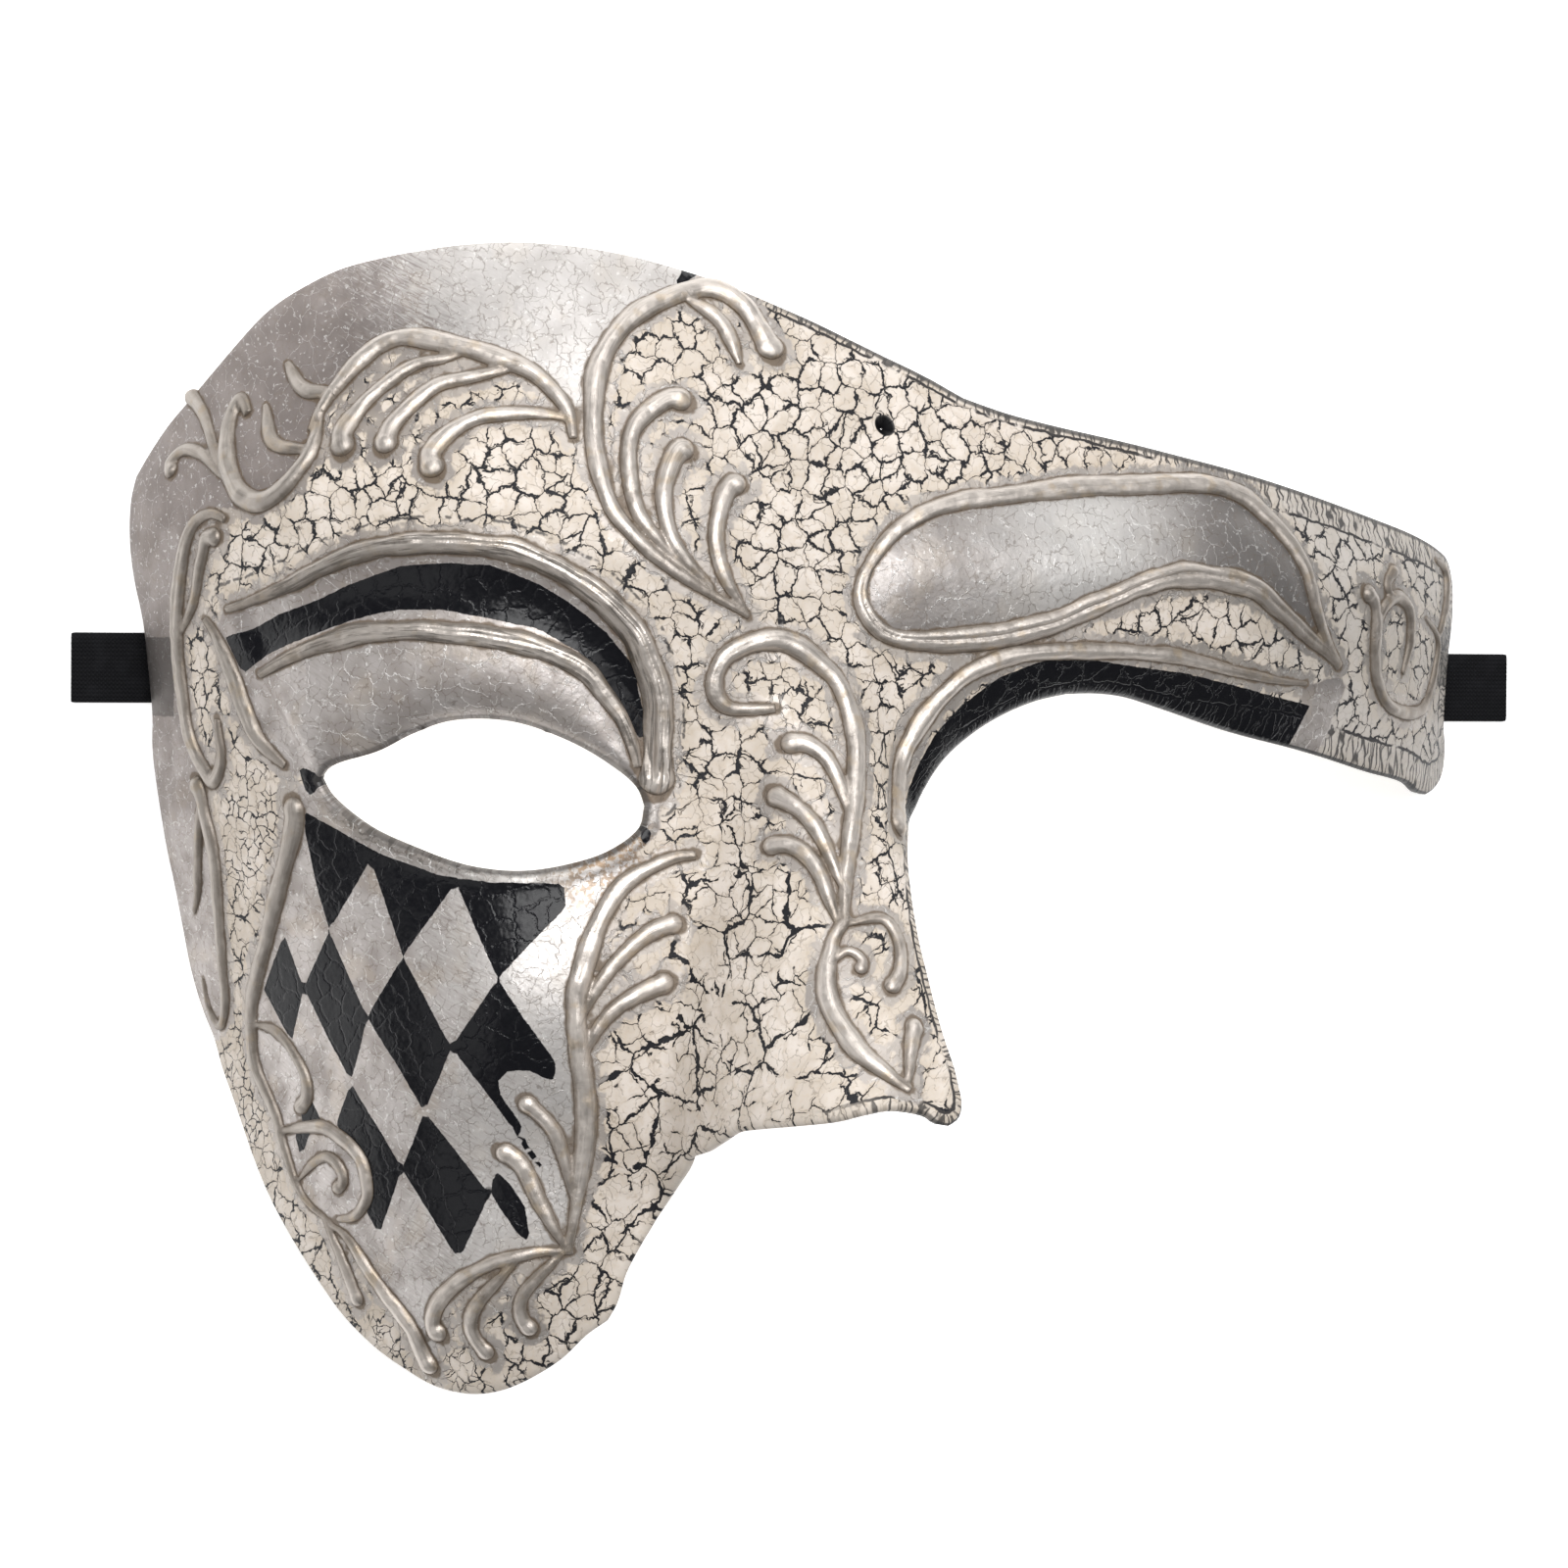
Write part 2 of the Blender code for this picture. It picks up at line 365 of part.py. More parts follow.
def stroke(rows, width, end, tree, floor):
    """One raised moulding: five-sided sections that follow the skin."""
    fine, run, _ = smooth_path(rows, 1.0)
    length, r = run[-1], BULB * width
    at = list(np.linspace(0, length, max(4, int(round(length / SCROLL_STEP)) + 1)))
    if end != "none":
        ball = [0.12 * r, 0.5 * r, r, 1.6 * r]
        at = [s for s in at if s > 2.1 * r] + ball
        if end == "end":
            at = [length - s for s in at]
            at.append(0.0)
        else:
            at.append(length)
    at = np.array(sorted(set(round(s, 4) for s in at)))
    tip = TIP + (1 - TIP) * np.sin(np.pi / 2 * np.clip(at / (0.35 * length), 0, 1))
    tail = TIP + (1 - TIP) * np.sin(np.pi / 2 * np.clip((length - at) / (0.35 * length), 0, 1))
    wide = width * {"none": np.minimum(tip, tail), "start": 0.75 * tail, "end": 0.75 * tip}[end]
    if end != "none":
        s = at if end == "start" else length - at
        ball = 2 * np.sqrt(np.clip(r * r - (s - r) ** 2, 0, None))
        wide = np.where(s < r, ball, np.maximum(ball, wide))
    angle, height = (np.interp(at, run, fine[:, k]) for k in (0, 1))
    ahead = [np.interp(np.clip(at + d, 0, length), run, fine[:, k]) for d in (0.5, -0.5) for k in (0, 1)]
    along = skin(ahead[0], ahead[1]) - skin(ahead[2], ahead[3])
    up = rest(outward(angle, height))
    along = rest(along / np.linalg.norm(along, axis=-1, keepdims=True))
    side = np.cross(up, along)
    centre = rest(skin(angle, height)) - floor
    points, faces = [], []
    # A section. Columns: across, of the half width; up, of the rise
    section = ((-1.0, 0.0), (-0.62, 0.72), (0.0, 1.0), (0.62, 0.72), (1.0, 0.0))
    for c, u, v, w in zip(centre, up, side, wide):
        for across, rise in section:
            p = Vector(c + v * across * w / 2 + u * 4)
            hit = tree.ray_cast(p, Vector(-u))[0]
            base = np.array(hit) if hit is not None else c + v * across * w / 2
            points.append(base + u * (SCROLL_GAP + rise * SCROLL_RISE * w))
    k = len(section)
    for i in range(len(at) - 1):
        for j in range(k):
            a, b = i * k + j, i * k + (j + 1) % k
            faces.append((a, b, b + k, a + k))
    faces.append(tuple(range(k)))
    faces.append(tuple(reversed(range(len(points) - k, len(points)))))
    return points, faces


def make_scroll(name, tree, floor):
    strokes = [row for row in SCROLLS if row[0] == name]
    things = []
    for number, (_, width, end, rows) in enumerate(strokes):
        points, faces = stroke(rows, width, end, tree, floor)
        things.append(solid(name if number == 0 else "%s_stroke_%d" % (name, number), points, faces))
    whole = things[0]
    for other in things[1:]:
        joint = whole.modifiers.new("join", "BOOLEAN")
        joint.operation, joint.solver, joint.object = "UNION", "EXACT", other
        bpy.context.view_layer.update()
        mesh = bpy.data.meshes.new_from_object(whole.evaluated_get(bpy.context.evaluated_depsgraph_get()))
        whole.modifiers.clear()
        whole.data = mesh
    for other in things[1:]:
        bpy.data.objects.remove(other)
    work = bmesh.new()
    work.from_mesh(whole.data)
    bmesh.ops.remove_doubles(work, verts=work.verts, dist=2e-5)
    bmesh.ops.dissolve_degenerate(work, edges=work.edges, dist=1e-5)
    bmesh.ops.triangulate(work, faces=work.faces)
    work.to_mesh(whole.data)
    work.free()
    return whole


def make_strap(name, wall_angles, height, side, free, floor):
    """Flat elastic: glued up the wall inside, out under the rim and along the floor."""
    depth = WALL + STRAP_CLEAR + STRAP_THICK / 2
    lie = STRAP_THICK / 2
    end = rest(skin(wall_angles[-1] + side * 1.8, height))[0] - floor[0] + side * free
    borders = []
    for border in (-1, 1):
        level = height + border * STRAP_WIDTH / 2
        wall = [rest(skin(a, level) - depth * outward(a, level)) - floor for a in wall_angles]
        foot = wall[-1]
        path = [tuple(p) for p in wall]
        # Bend from the wall to the floor. Columns: out from the foot of the wall run, up from the floor
        for out, up in ((0.1, 3.1), (0.5, 1.6), (1.4, 0.85), (2.6, lie), (5.5, lie)):
            path.append((foot[0] + side * out, foot[1], up))
        path.append(((foot[0] + side * 5.5 + end) / 2, foot[1], lie))
        path.append((end, foot[1], lie))
        path = np.array(path)
        steer = np.gradient(path[:, (0, 2)], axis=0)
        steer /= np.linalg.norm(steer, axis=1, keepdims=True)
        across = np.stack([-steer[:, 1], 0 * steer[:, 0], steer[:, 0]], -1) * STRAP_THICK / 2
        borders.append((path, across))
    points, faces = [], []
    for (low, low_across), (high, high_across) in zip(*(zip(*b) for b in borders)):
        points += [low - low_across, low + low_across, high + high_across, high - high_across]
    for i in range(len(points) // 4 - 1):
        for j in range(4):
            a, b = 4 * i + j, 4 * i + (j + 1) % 4
            faces.append((a, b, b + 4, a + 4))
    faces += [(0, 1, 2, 3), tuple(len(points) - k for k in (1, 2, 3, 4))]
    return solid(name, points, faces, smooth=False)


def build():
    for thing in list(bpy.data.objects):
        bpy.data.objects.remove(thing)
    points, faces = make_shell()
    low, high = points.min(0), points.max(0)
    floor = np.array([(low[0] + high[0]) / 2, (low[1] + high[1]) / 2, low[2]])
    shell = solid("mask_shell", points - floor, faces)
    tree = BVHTree.FromPolygons([Vector(p) for p in points - floor], faces)
    pieces = [shell]
    for row in STRAPS:
        pieces.append(make_strap(*row, floor))
    for name in dict.fromkeys(row[0] for row in SCROLLS):
        pieces.append(make_scroll(name, tree, floor))
    # centre the whole on the origin, on the floor
    corners = np.array([v.co for piece in pieces for v in piece.data.vertices])
    shift = Vector(((corners[:, 0].min() + corners[:, 0].max()) / 2, (corners[:, 1].min() + corners[:, 1].max()) / 2, 0.0))
    for piece in pieces:
        piece.data.transform(Matrix.Translation(-shift))
        piece.data.materials.clear()
        piece.data.materials.append(paint(piece.name))
    for piece in pieces:
        low = min(v.co.z for v in piece.data.vertices)
        print(piece.name, len(piece.data.polygons), "faces, lowest %.5f" % low)
    print("size", (corners.max(0) - corners.min(0)).round(4))


build()
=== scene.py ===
"""Looks of a venetian half mask that lies face up on its rim: crackled cream paint, antiqued
silver mouldings, black lacquer and black elastic ends.

Mask measures are in millimetres: x toward the wearer's left, y up the face, z out of the face,
with the bridge of the nose at the origin. A place on the skin is an angle round the head's
upright axis and a height. to_world() lays the mask on its rim and gives metres.
"""

import math

import bpy
import bmesh
import numpy as np
from mathutils import Matrix, Vector, kdtree, noise
from mathutils.geometry import delaunay_2d_cdt


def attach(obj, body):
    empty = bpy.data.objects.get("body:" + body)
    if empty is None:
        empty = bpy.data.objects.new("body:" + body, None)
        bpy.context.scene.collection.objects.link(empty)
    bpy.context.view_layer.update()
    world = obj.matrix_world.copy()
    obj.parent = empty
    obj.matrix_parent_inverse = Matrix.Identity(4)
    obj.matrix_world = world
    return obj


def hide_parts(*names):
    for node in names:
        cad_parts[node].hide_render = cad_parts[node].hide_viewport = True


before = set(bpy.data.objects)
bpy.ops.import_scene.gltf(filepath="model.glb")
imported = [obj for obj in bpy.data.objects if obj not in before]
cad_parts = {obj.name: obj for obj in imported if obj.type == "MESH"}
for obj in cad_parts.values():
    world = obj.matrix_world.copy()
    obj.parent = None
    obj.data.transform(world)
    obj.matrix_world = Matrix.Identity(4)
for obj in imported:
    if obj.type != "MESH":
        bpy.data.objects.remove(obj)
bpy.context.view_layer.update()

# ---------------------------------------------------------------- driving dimensions (mm, degrees)
WALL = 1.8
AXIS_DEPTH = 85.0
SQUARE_NEAR, SQUARE_FAR = 2.4, 2.8
NOSE_ROUND = 1.4
REST_ROLL = 9.33
REST_PITCH = -1.43
OFFSET = (14.54823, -2.49733, -59.21667)     # middle of the resting mask on the floor
RIM_ROUND = 0.55             # rounding of the cut edge
SCROLL_RISE = 0.36           # height of a moulding, of its width
BULB = 0.66                  # radius of a scroll's round end, of the stroke's width
TIP = 0.45                   # width of a tapered end, of the stroke's width
STRAP_WIDTH, STRAP_THICK = 11.0, 1.0
STRAP_CLEAR = 0.6
PIN_HOLE = dict(angle=10.5, height=57.5, radius=1.4)

# Plan of the head. Columns: height, half width on the near (right) side, on the far side, depth in front of the axis
HEAD = (
    (-92, 60.0, 100.0, 72.5),
    (-84, 63.5, 104.0, 74.5),
    (-70, 68.5, 110.0, 77.5),
    (-50, 72.0, 120.0, 80.0),
    (-30, 75.2, 128.0, 81.2),
    (-10, 78.3, 139.0, 82.0),
    (10, 81.8, 141.5, 83.5),
    (30, 84.5, 142.0, 84.0),
    (45, 85.5, 142.0, 81.0),
    (60, 80.0, 136.0, 76.0),
    (75, 73.0, 128.0, 68.5),
    (90, 60.0, 118.0, 56.0),
)
# Nose. Columns: height, rise in front of the face, half width along the skin
NOSE = (
    (30, 0.0, 12.0),
    (18, 2.0, 13.0),
    (8, 6.0, 15.0),
    (0, 10.5, 17.0),
    (-10, 16.0, 19.5),
    (-20, 22.0, 22.0),
    (-30, 28.5, 24.0),
    (-40, 35.0, 26.0),
    (-48, 38.0, 27.0),
    (-56, 30.0, 27.0),
    (-64, 12.0, 25.0),
    (-72, 0.0, 22.0),
)
# Swells and hollows. Columns: place, arc from the nose, height, half length, half breadth, rise, turn
SWELLS = (
    ("cheekbone", -50, -32, 24, 20, 5.0, 25),
    ("near brow", -42, 42, 34, 12, 3.0, -6),
    ("near eye socket", -47, 6, 24, 14, -3.5, 0),
    ("lower cheek", -48, -70, 18, 14, 3.0, 0),
    ("fold beside the nose", -27, -62, 8, 20, -3.5, -28),
    ("far brow", 55, 36, 46, 9, 3.0, -4),
    ("between the brows", 2, 36, 16, 16, -1.5, 0),
)

# Outline, clockwise from the near temple. Columns of each edge: angle, height
OUTLINE = {
    "near forehead": ((-81.2, 50.5), (-80.0, 53.6), (-77.7, 58.6), (-74.1, 63.5), (-69.5, 70.6), (-66.0, 75.8),
                      (-62.3, 79.3), (-57.6, 82.0), (-51.1, 83.8), (-44.7, 85.0)),
    "top of forehead": ((-44.7, 85.0), (-38.1, 85.6), (-31.5, 85.5), (-24.8, 84.8), (-18.1, 83.3), (-11.4, 81.3),
                        (-5.0, 78.8), (1.2, 75.7), (7.1, 72.3), (12.6, 68.7), (17.8, 65.1), (21.2, 62.3)),
    "far brow": ((21.2, 62.3), (25.7, 60.0), (30.6, 58.2), (36.1, 56.4), (41.4, 54.3), (46.3, 52.2), (49.6, 50.5),
                 (53.6, 48.2), (58.0, 45.6), (62.2, 43.4), (65.8, 41.5)),
    "far tab": ((65.8, 41.5), (68.1, 40.0), (69.2, 36.5), (69.0, 31.0), (68.3, 26.0), (68.2, 19.0), (68.4, 13.0),
                (70.0, 8.8), (69.5, 5.0), (67.6, 2.4), (65.3, 1.2)),
    "under far brow": ((65.3, 1.2), (63.4, 1.7), (61.7, 3.1), (57.0, 4.8), (51.8, 7.3), (47.0, 9.5), (42.4, 11.8),
                       (37.7, 14.3), (33.9, 16.1), (31.0, 16.6), (28.1, 16.5)),
    "far eye": ((28.1, 16.5), (25.2, 15.5), (22.2, 13.7), (19.1, 11.1), (16.6, 8.2), (14.5, 5.2), (12.5, 1.2),
                (11.2, -2.3), (9.4, -5.4)),
    "far side of nose": ((9.4, -5.4), (6.9, -8.8), (5.4, -13.8), (4.7, -18.9), (4.4, -23.9), (4.1, -29.6),
                         (4.0, -35.2), (4.1, -40.2), (3.9, -43.7), (3.2, -46.0), (2.3, -47.0)),
    "foot of nose": ((2.3, -47.0), (1.3, -46.6), (0.4, -45.1), (-2.1, -44.2), (-4.2, -45.0), (-6.0, -46.2),
                     (-10.3, -47.9), (-11.4, -48.5), (-12.3, -50.1), (-13.3, -51.9), (-14.3, -52.8)),
    "front of cheek": ((-14.3, -52.8), (-14.6, -54.9), (-16.9, -62.5), (-18.5, -66.2), (-20.2, -70.6), (-21.2, -75.0),
                       (-22.3, -77.7)),
    "chin": ((-22.3, -77.7), (-24.5, -79.8), (-27.9, -84.0), (-33.9, -88.3), (-37.7, -89.4), (-40.9, -89.3),
             (-44.3, -88.3), (-48.2, -85.9), (-52.3, -82.8), (-56.3, -78.5), (-59.5, -73.4)),
    "jaw": ((-59.5, -73.4), (-62.8, -67.8), (-66.5, -60.9), (-69.7, -53.5), (-72.1, -46.1), (-73.9, -40.9),
            (-75.1, -36.4), (-77.1, -32.4), (-78.5, -27.4), (-79.4, -19.8)),
    "near temple": ((-79.4, -19.8), (-80.4, -12.2), (-81.1, -4.7), (-81.0, 2.9), (-80.6, 8.5), (-79.3, 14.0),
                    (-79.0, 20.5), (-79.2, 27.5), (-80.2, 33.2), (-80.5, 42.2), (-81.0, 47.5), (-81.2, 50.5)),
}
# Near eye hole. Columns of each lid: angle, height
EYE = {
    "upper lid": ((-18.6, -0.3), (-19.4, 2.5), (-22.4, 6.0), (-26.4, 9.2), (-32.4, 12.1), (-38.3, 12.2), (-42.4, 10.3),
                  (-46.1, 7.8), (-51.9, 5.3), (-52.8, 3.6)),
    "lower lid": ((-52.8, 3.6), (-51.8, 1.2), (-47.4, -3.4), (-42.5, -6.3), (-36.2, -9.2), (-31.2, -9.9), (-26.4, -8.9),
                  (-22.4, -7.0), (-19.2, -3.6), (-18.6, -0.3)),
}

# Raised scrolls. Columns: piece, width, round end, path as rows of (angle, height)
SCROLLS = (
    ("forehead_scroll", 2.8, "start", ((-1.6, 67.4), (-4.4, 75.3), (-7.1, 77.9), (-10.2, 78.3), (-18.5, 74.1), (-21.7, 69.9),
                                       (-23.4, 65.5), (-23.9, 60.0), (-23.5, 51.3), (-21.4, 42.5), (-17.2, 36.2), (-8.0, 27.8))),
    ("forehead_scroll", 1.9, "none", ((-12.3, 76.6), (-8.1, 73.0), (-6.6, 66.3))),
    ("forehead_scroll", 2.4, "start", ((-13.1, 59.8), (-15.1, 60.9), (-19.5, 56.6), (-19.7, 44.3), (-17.4, 39.1), (-14.8, 34.9))),
    ("forehead_scroll", 2.4, "start", ((-13.3, 52.1), (-14.6, 53.0), (-16.6, 47.4), (-16.1, 39.5), (-11.8, 32.0))),
    ("forehead_scroll", 2.4, "start", ((-7.7, 47.9), (-9.4, 47.6), (-11.4, 41.0), (-10.4, 33.2), (-8.2, 28.4))),
    ("brow_fan_scroll", 2.5, "none", ((-63.2, 59.0), (-65.2, 61.6), (-65.8, 58.6), (-64.7, 54.0), (-62.7, 49.3), (-60.6, 46.3),
                                      (-58.1, 45.4), (-55.8, 47.1), (-54.0, 50.3), (-53.2, 53.0), (-53.4, 59.0))),
    ("brow_fan_scroll", 2.5, "none", ((-53.8, 56.0), (-53.0, 60.4), (-50.1, 66.5), (-48.2, 69.0), (-45.7, 70.1), (-43.0, 69.8),
                                      (-39.1, 68.8), (-35.4, 67.4), (-31.3, 65.1), (-28.8, 62.5), (-26.8, 59.0), (-26.0, 54.4))),
    ("brow_fan_scroll", 2.4, "end", ((-37.6, 68.2), (-40.4, 66.7), (-43.9, 65.8), (-48.8, 59.3), (-50.0, 55.4), (-49.2, 52.1))),
    ("brow_fan_scroll", 2.4, "end", ((-31.9, 65.4), (-37.6, 63.9), (-40.6, 62.7), (-43.1, 59.8), (-45.0, 55.7), (-45.0, 52.3))),
    ("brow_fan_scroll", 2.4, "end", ((-26.6, 57.4), (-29.6, 58.4), (-36.0, 57.5), (-38.7, 55.2), (-40.1, 52.2), (-39.2, 48.6))),
    ("brow_fan_scroll", 1.8, "start", ((-75.3, 63.0), (-70.8, 59.5), (-64.0, 49.8))),
    ("brow_fan_scroll", 1.8, "start", ((-72.6, 50.2), (-73.8, 52.2), (-72.2, 53.9), (-69.2, 53.4), (-63.6, 49.0))),
    ("brow_fan_scroll", 1.8, "none", ((-59.6, 66.9), (-56.0, 62.5), (-52.2, 61.9))),
    ("brow_fan_scroll", 1.8, "none", ((-60.9, 60.4), (-58.1, 54.4), (-53.4, 53.0))),
    ("brow_arch_rib", 3.2, "end", ((-63.4, 30.2), (-60.0, 31.3), (-55.6, 33.4), (-51.7, 35.6), (-48.0, 37.6), (-44.5, 39.0),
                                   (-41.2, 39.6), (-38.0, 39.6), (-33.6, 39.0), (-30.2, 37.8), (-24.4, 33.2), (-19.6, 26.3),
                                   (-18.1, 21.9), (-17.0, 17.5), (-16.6, 13.2), (-16.8, 4.4), (-17.0, 1.2))),
    ("eyelid_rib", 2.1, "none", ((-59.3, 19.6), (-54.5, 22.5), (-50.7, 24.2), (-46.6, 25.6), (-42.9, 25.9), (-38.6, 25.8),
                                 (-30.1, 23.8), (-24.7, 20.0), (-22.9, 16.8), (-21.0, 13.2), (-19.9, 9.2), (-19.3, 5.4))),
    ("temple_rib", 1.9, "none", ((-66.6, 28.0), (-65.0, 25.3), (-62.8, 18.9), (-60.6, 10.8), (-58.8, 7.8), (-56.9, 5.6))),
    ("side_scroll_upper", 2.1, "none", ((-62.7, 43.0), (-64.8, 43.8), (-67.2, 42.6), (-70.6, 33.3), (-71.9, 18.4), (-71.0, 8.9),
                                        (-69.2, 4.9), (-68.2, 3.4), (-66.5, 5.9), (-66.1, 12.9))),
    ("side_scroll_upper", 1.8, "start", ((-63.4, 40.0), (-65.2, 40.3), (-66.2, 37.6), (-68.4, 30.5), (-71.2, 25.5))),
    ("side_scroll_lower", 2.1, "start", ((-71.7, 4.0), (-70.7, 1.8), (-70.4, -1.5), (-70.0, -5.0), (-69.8, -9.5), (-70.5, -24.6),
                                         (-70.8, -30.2), (-72.8, -34.2), (-75.2, -31.6), (-75.8, -27.0))),
    ("side_scroll_lower", 1.5, "none", ((-70.9, 1.2), (-72.2, -4.1), (-73.3, -9.6), (-74.0, -13.6), (-75.6, -17.0))),
    ("cheek_outer_scroll", 2.6, "start", ((-56.4, 1.0), (-56.2, -2.0), (-57.0, -5.6), (-60.7, -17.4), (-65.3, -29.5), (-66.0, -33.0),
                                          (-66.1, -40.7), (-63.0, -48.3), (-62.3, -52.5), (-59.8, -60.0), (-55.6, -63.6))),
    ("cheek_outer_scroll", 1.9, "end", ((-65.9, -33.7), (-61.5, -34.8), (-57.7, -40.3), (-57.5, -44.4), (-59.4, -46.6))),
    ("cheek_outer_scroll", 1.9, "none", ((-62.2, -49.8), (-57.4, -49.1), (-55.2, -49.0), (-52.2, -50.9), (-50.3, -53.4), (-49.7, -56.5),
                                         (-49.8, -59.5), (-51.8, -62.3), (-54.4, -63.0))),
    ("cheek_outer_scroll", 1.7, "end", ((-60.6, -57.6), (-57.8, -55.0), (-54.9, -53.6), (-53.2, -55.3), (-53.0, -57.3), (-54.6, -58.6))),
    ("cheek_outer_scroll", 2.4, "end", ((-55.9, -63.6), (-53.5, -65.4), (-49.6, -72.4), (-45.7, -79.4), (-44.8, -82.9), (-43.4, -86.2))),
    ("cheek_outer_scroll", 1.9, "end", ((-56.4, -63.4), (-55.2, -66.8), (-52.9, -76.4))),
    ("cheek_inner_scroll", 2.8, "none", ((-13.3, -7.6), (-15.4, -7.9), (-21.1, -12.4), (-25.3, -26.5), (-25.5, -31.4), (-25.1, -39.0),
                                         (-24.7, -47.2), (-25.2, -55.9), (-26.6, -67.1))),
    ("cheek_inner_scroll", 2.4, "start", ((-14.7, -18.0), (-16.1, -18.0), (-19.3, -20.4), (-23.4, -26.9), (-25.3, -32.7))),
    ("cheek_inner_scroll", 2.4, "start", ((-15.8, -26.0), (-21.4, -30.0), (-24.4, -35.8), (-25.1, -38.7))),
    ("cheek_inner_scroll", 2.4, "start", ((-31.1, -43.6), (-27.8, -49.2), (-25.9, -59.4))),
    ("cheek_inner_scroll", 2.4, "start", ((-33.8, -51.3), (-31.7, -53.2), (-29.0, -60.4), (-26.7, -67.0))),
    ("cheek_inner_scroll", 2.4, "end", ((-26.0, -67.0), (-29.3, -66.9), (-36.2, -69.7), (-41.6, -75.4), (-42.6, -78.6), (-41.4, -80.9))),
    ("cheek_inner_scroll", 2.1, "end", ((-31.4, -67.7), (-37.3, -76.5), (-37.6, -80.0), (-35.8, -83.6))),
    ("cheek_inner_scroll", 2.1, "end", ((-26.9, -66.8), (-31.5, -73.9), (-31.8, -76.9), (-30.5, -79.6))),
    ("nose_scroll", 2.5, "none", ((-5.3, 14.2), (-7.8, 13.9), (-10.1, 14.2), (-11.5, 16.4), (-11.4, 19.8), (-9.9, 22.6), (-4.6, 24.6),
                                  (0.6, 19.9), (2.0, 15.9), (2.5, 11.5), (1.2, 1.8), (-1.2, -9.4), (-2.6, -17.6))),
    ("nose_scroll", 2.2, "start", ((-5.2, 8.8), (-3.2, 9.1), (-1.5, 7.5), (-0.4, 4.1), (0.1, -2.6))),
    ("nose_scroll", 2.2, "start", ((-6.6, 1.8), (-3.9, -1.6), (-1.9, -13.3))),
    ("nose_scroll", 2.2, "start", ((-7.5, -6.5), (-5.7, -6.1), (-4.2, -8.2), (-2.9, -18.2))),
    ("nose_scroll", 2.4, "none", ((-2.0, -16.6), (-3.6, -19.9), (-4.9, -28.0), (-3.6, -36.1), (-2.3, -38.8), (-0.4, -41.6))),
    ("nose_scroll", 1.8, "end", ((-3.2, -17.9), (0.9, -16.9), (1.9, -19.9), (1.3, -24.6), (-0.3, -27.6))),
    ("nose_scroll", 1.5, "end", ((-4.6, -23.6), (-2.8, -21.6), (-1.8, -23.0), (-2.4, -25.0))),
    ("nose_scroll", 2.0, "start", ((1.5, -31.6), (0.5, -34.9), (-0.6, -41.0))),
    ("far_brow_loop", 2.5, "none", ((52.5, 21.3), (50.9, 25.3), (49.1, 32.0), (48.2, 39.9), (47.2, 44.5), (45.8, 48.0), (43.0, 49.5),
                                    (36.8, 49.2), (30.3, 48.5), (23.2, 47.1), (17.3, 46.0), (12.3, 43.9), (8.1, 40.0), (5.2, 34.7))),
    ("far_brow_loop", 2.5, "none", ((6.6, 37.8), (5.0, 33.6), (4.9, 30.1), (6.7, 26.1), (10.0, 24.6), (20.0, 25.6), (24.6, 27.4),
                                    (29.0, 30.5), (32.9, 33.4), (37.3, 35.2), (43.1, 33.7), (45.6, 30.5), (48.2, 27.2), (52.2, 22.2))),
    ("far_eye_arch", 2.2, "start", ((5.6, -4.4), (8.6, 4.4), (10.2, 9.0), (12.0, 13.3), (14.7, 17.6), (17.9, 20.6), (21.4, 22.6),
                                    (25.6, 23.3), (36.0, 22.9), (40.1, 21.6), (44.2, 20.0), (47.6, 19.0), (49.6, 18.6))),
    ("far_temple_scroll", 1.8, "start", ((54.2, 33.9), (55.2, 32.1), (55.6, 29.4), (56.7, 19.8), (58.7, 15.1), (62.2, 14.6),
                                         (63.7, 16.8), (64.4, 26.4), (61.9, 29.6))),
    ("far_temple_scroll", 1.6, "none", ((55.8, 26.4), (56.5, 31.2), (58.0, 32.8), (59.3, 31.4), (60.1, 25.5), (59.6, 20.5))),
    ("far_temple_scroll", 1.6, "start", ((58.4, 37.4), (57.0, 34.6), (57.4, 32.2))),
    ("far_temple_scroll", 1.5, "none", ((64.9, 39.3), (66.3, 37.9), (66.2, 33.1), (64.4, 26.2))),
)

# Straps: the stretch along the wall inside, then out under the rim along the floor.
# Columns: piece, angles up the wall, height, side of the mask, free length beyond the rim
STRAPS = (
    ("strap_right", (-67.5, -70.0, -72.5, -75.0, -76.6), 20.4, -1, 11.4),
    ("strap_left", (56.5, 59.5, 62.5, 65.0, 66.4), 18.3, 1, 12.1),
)

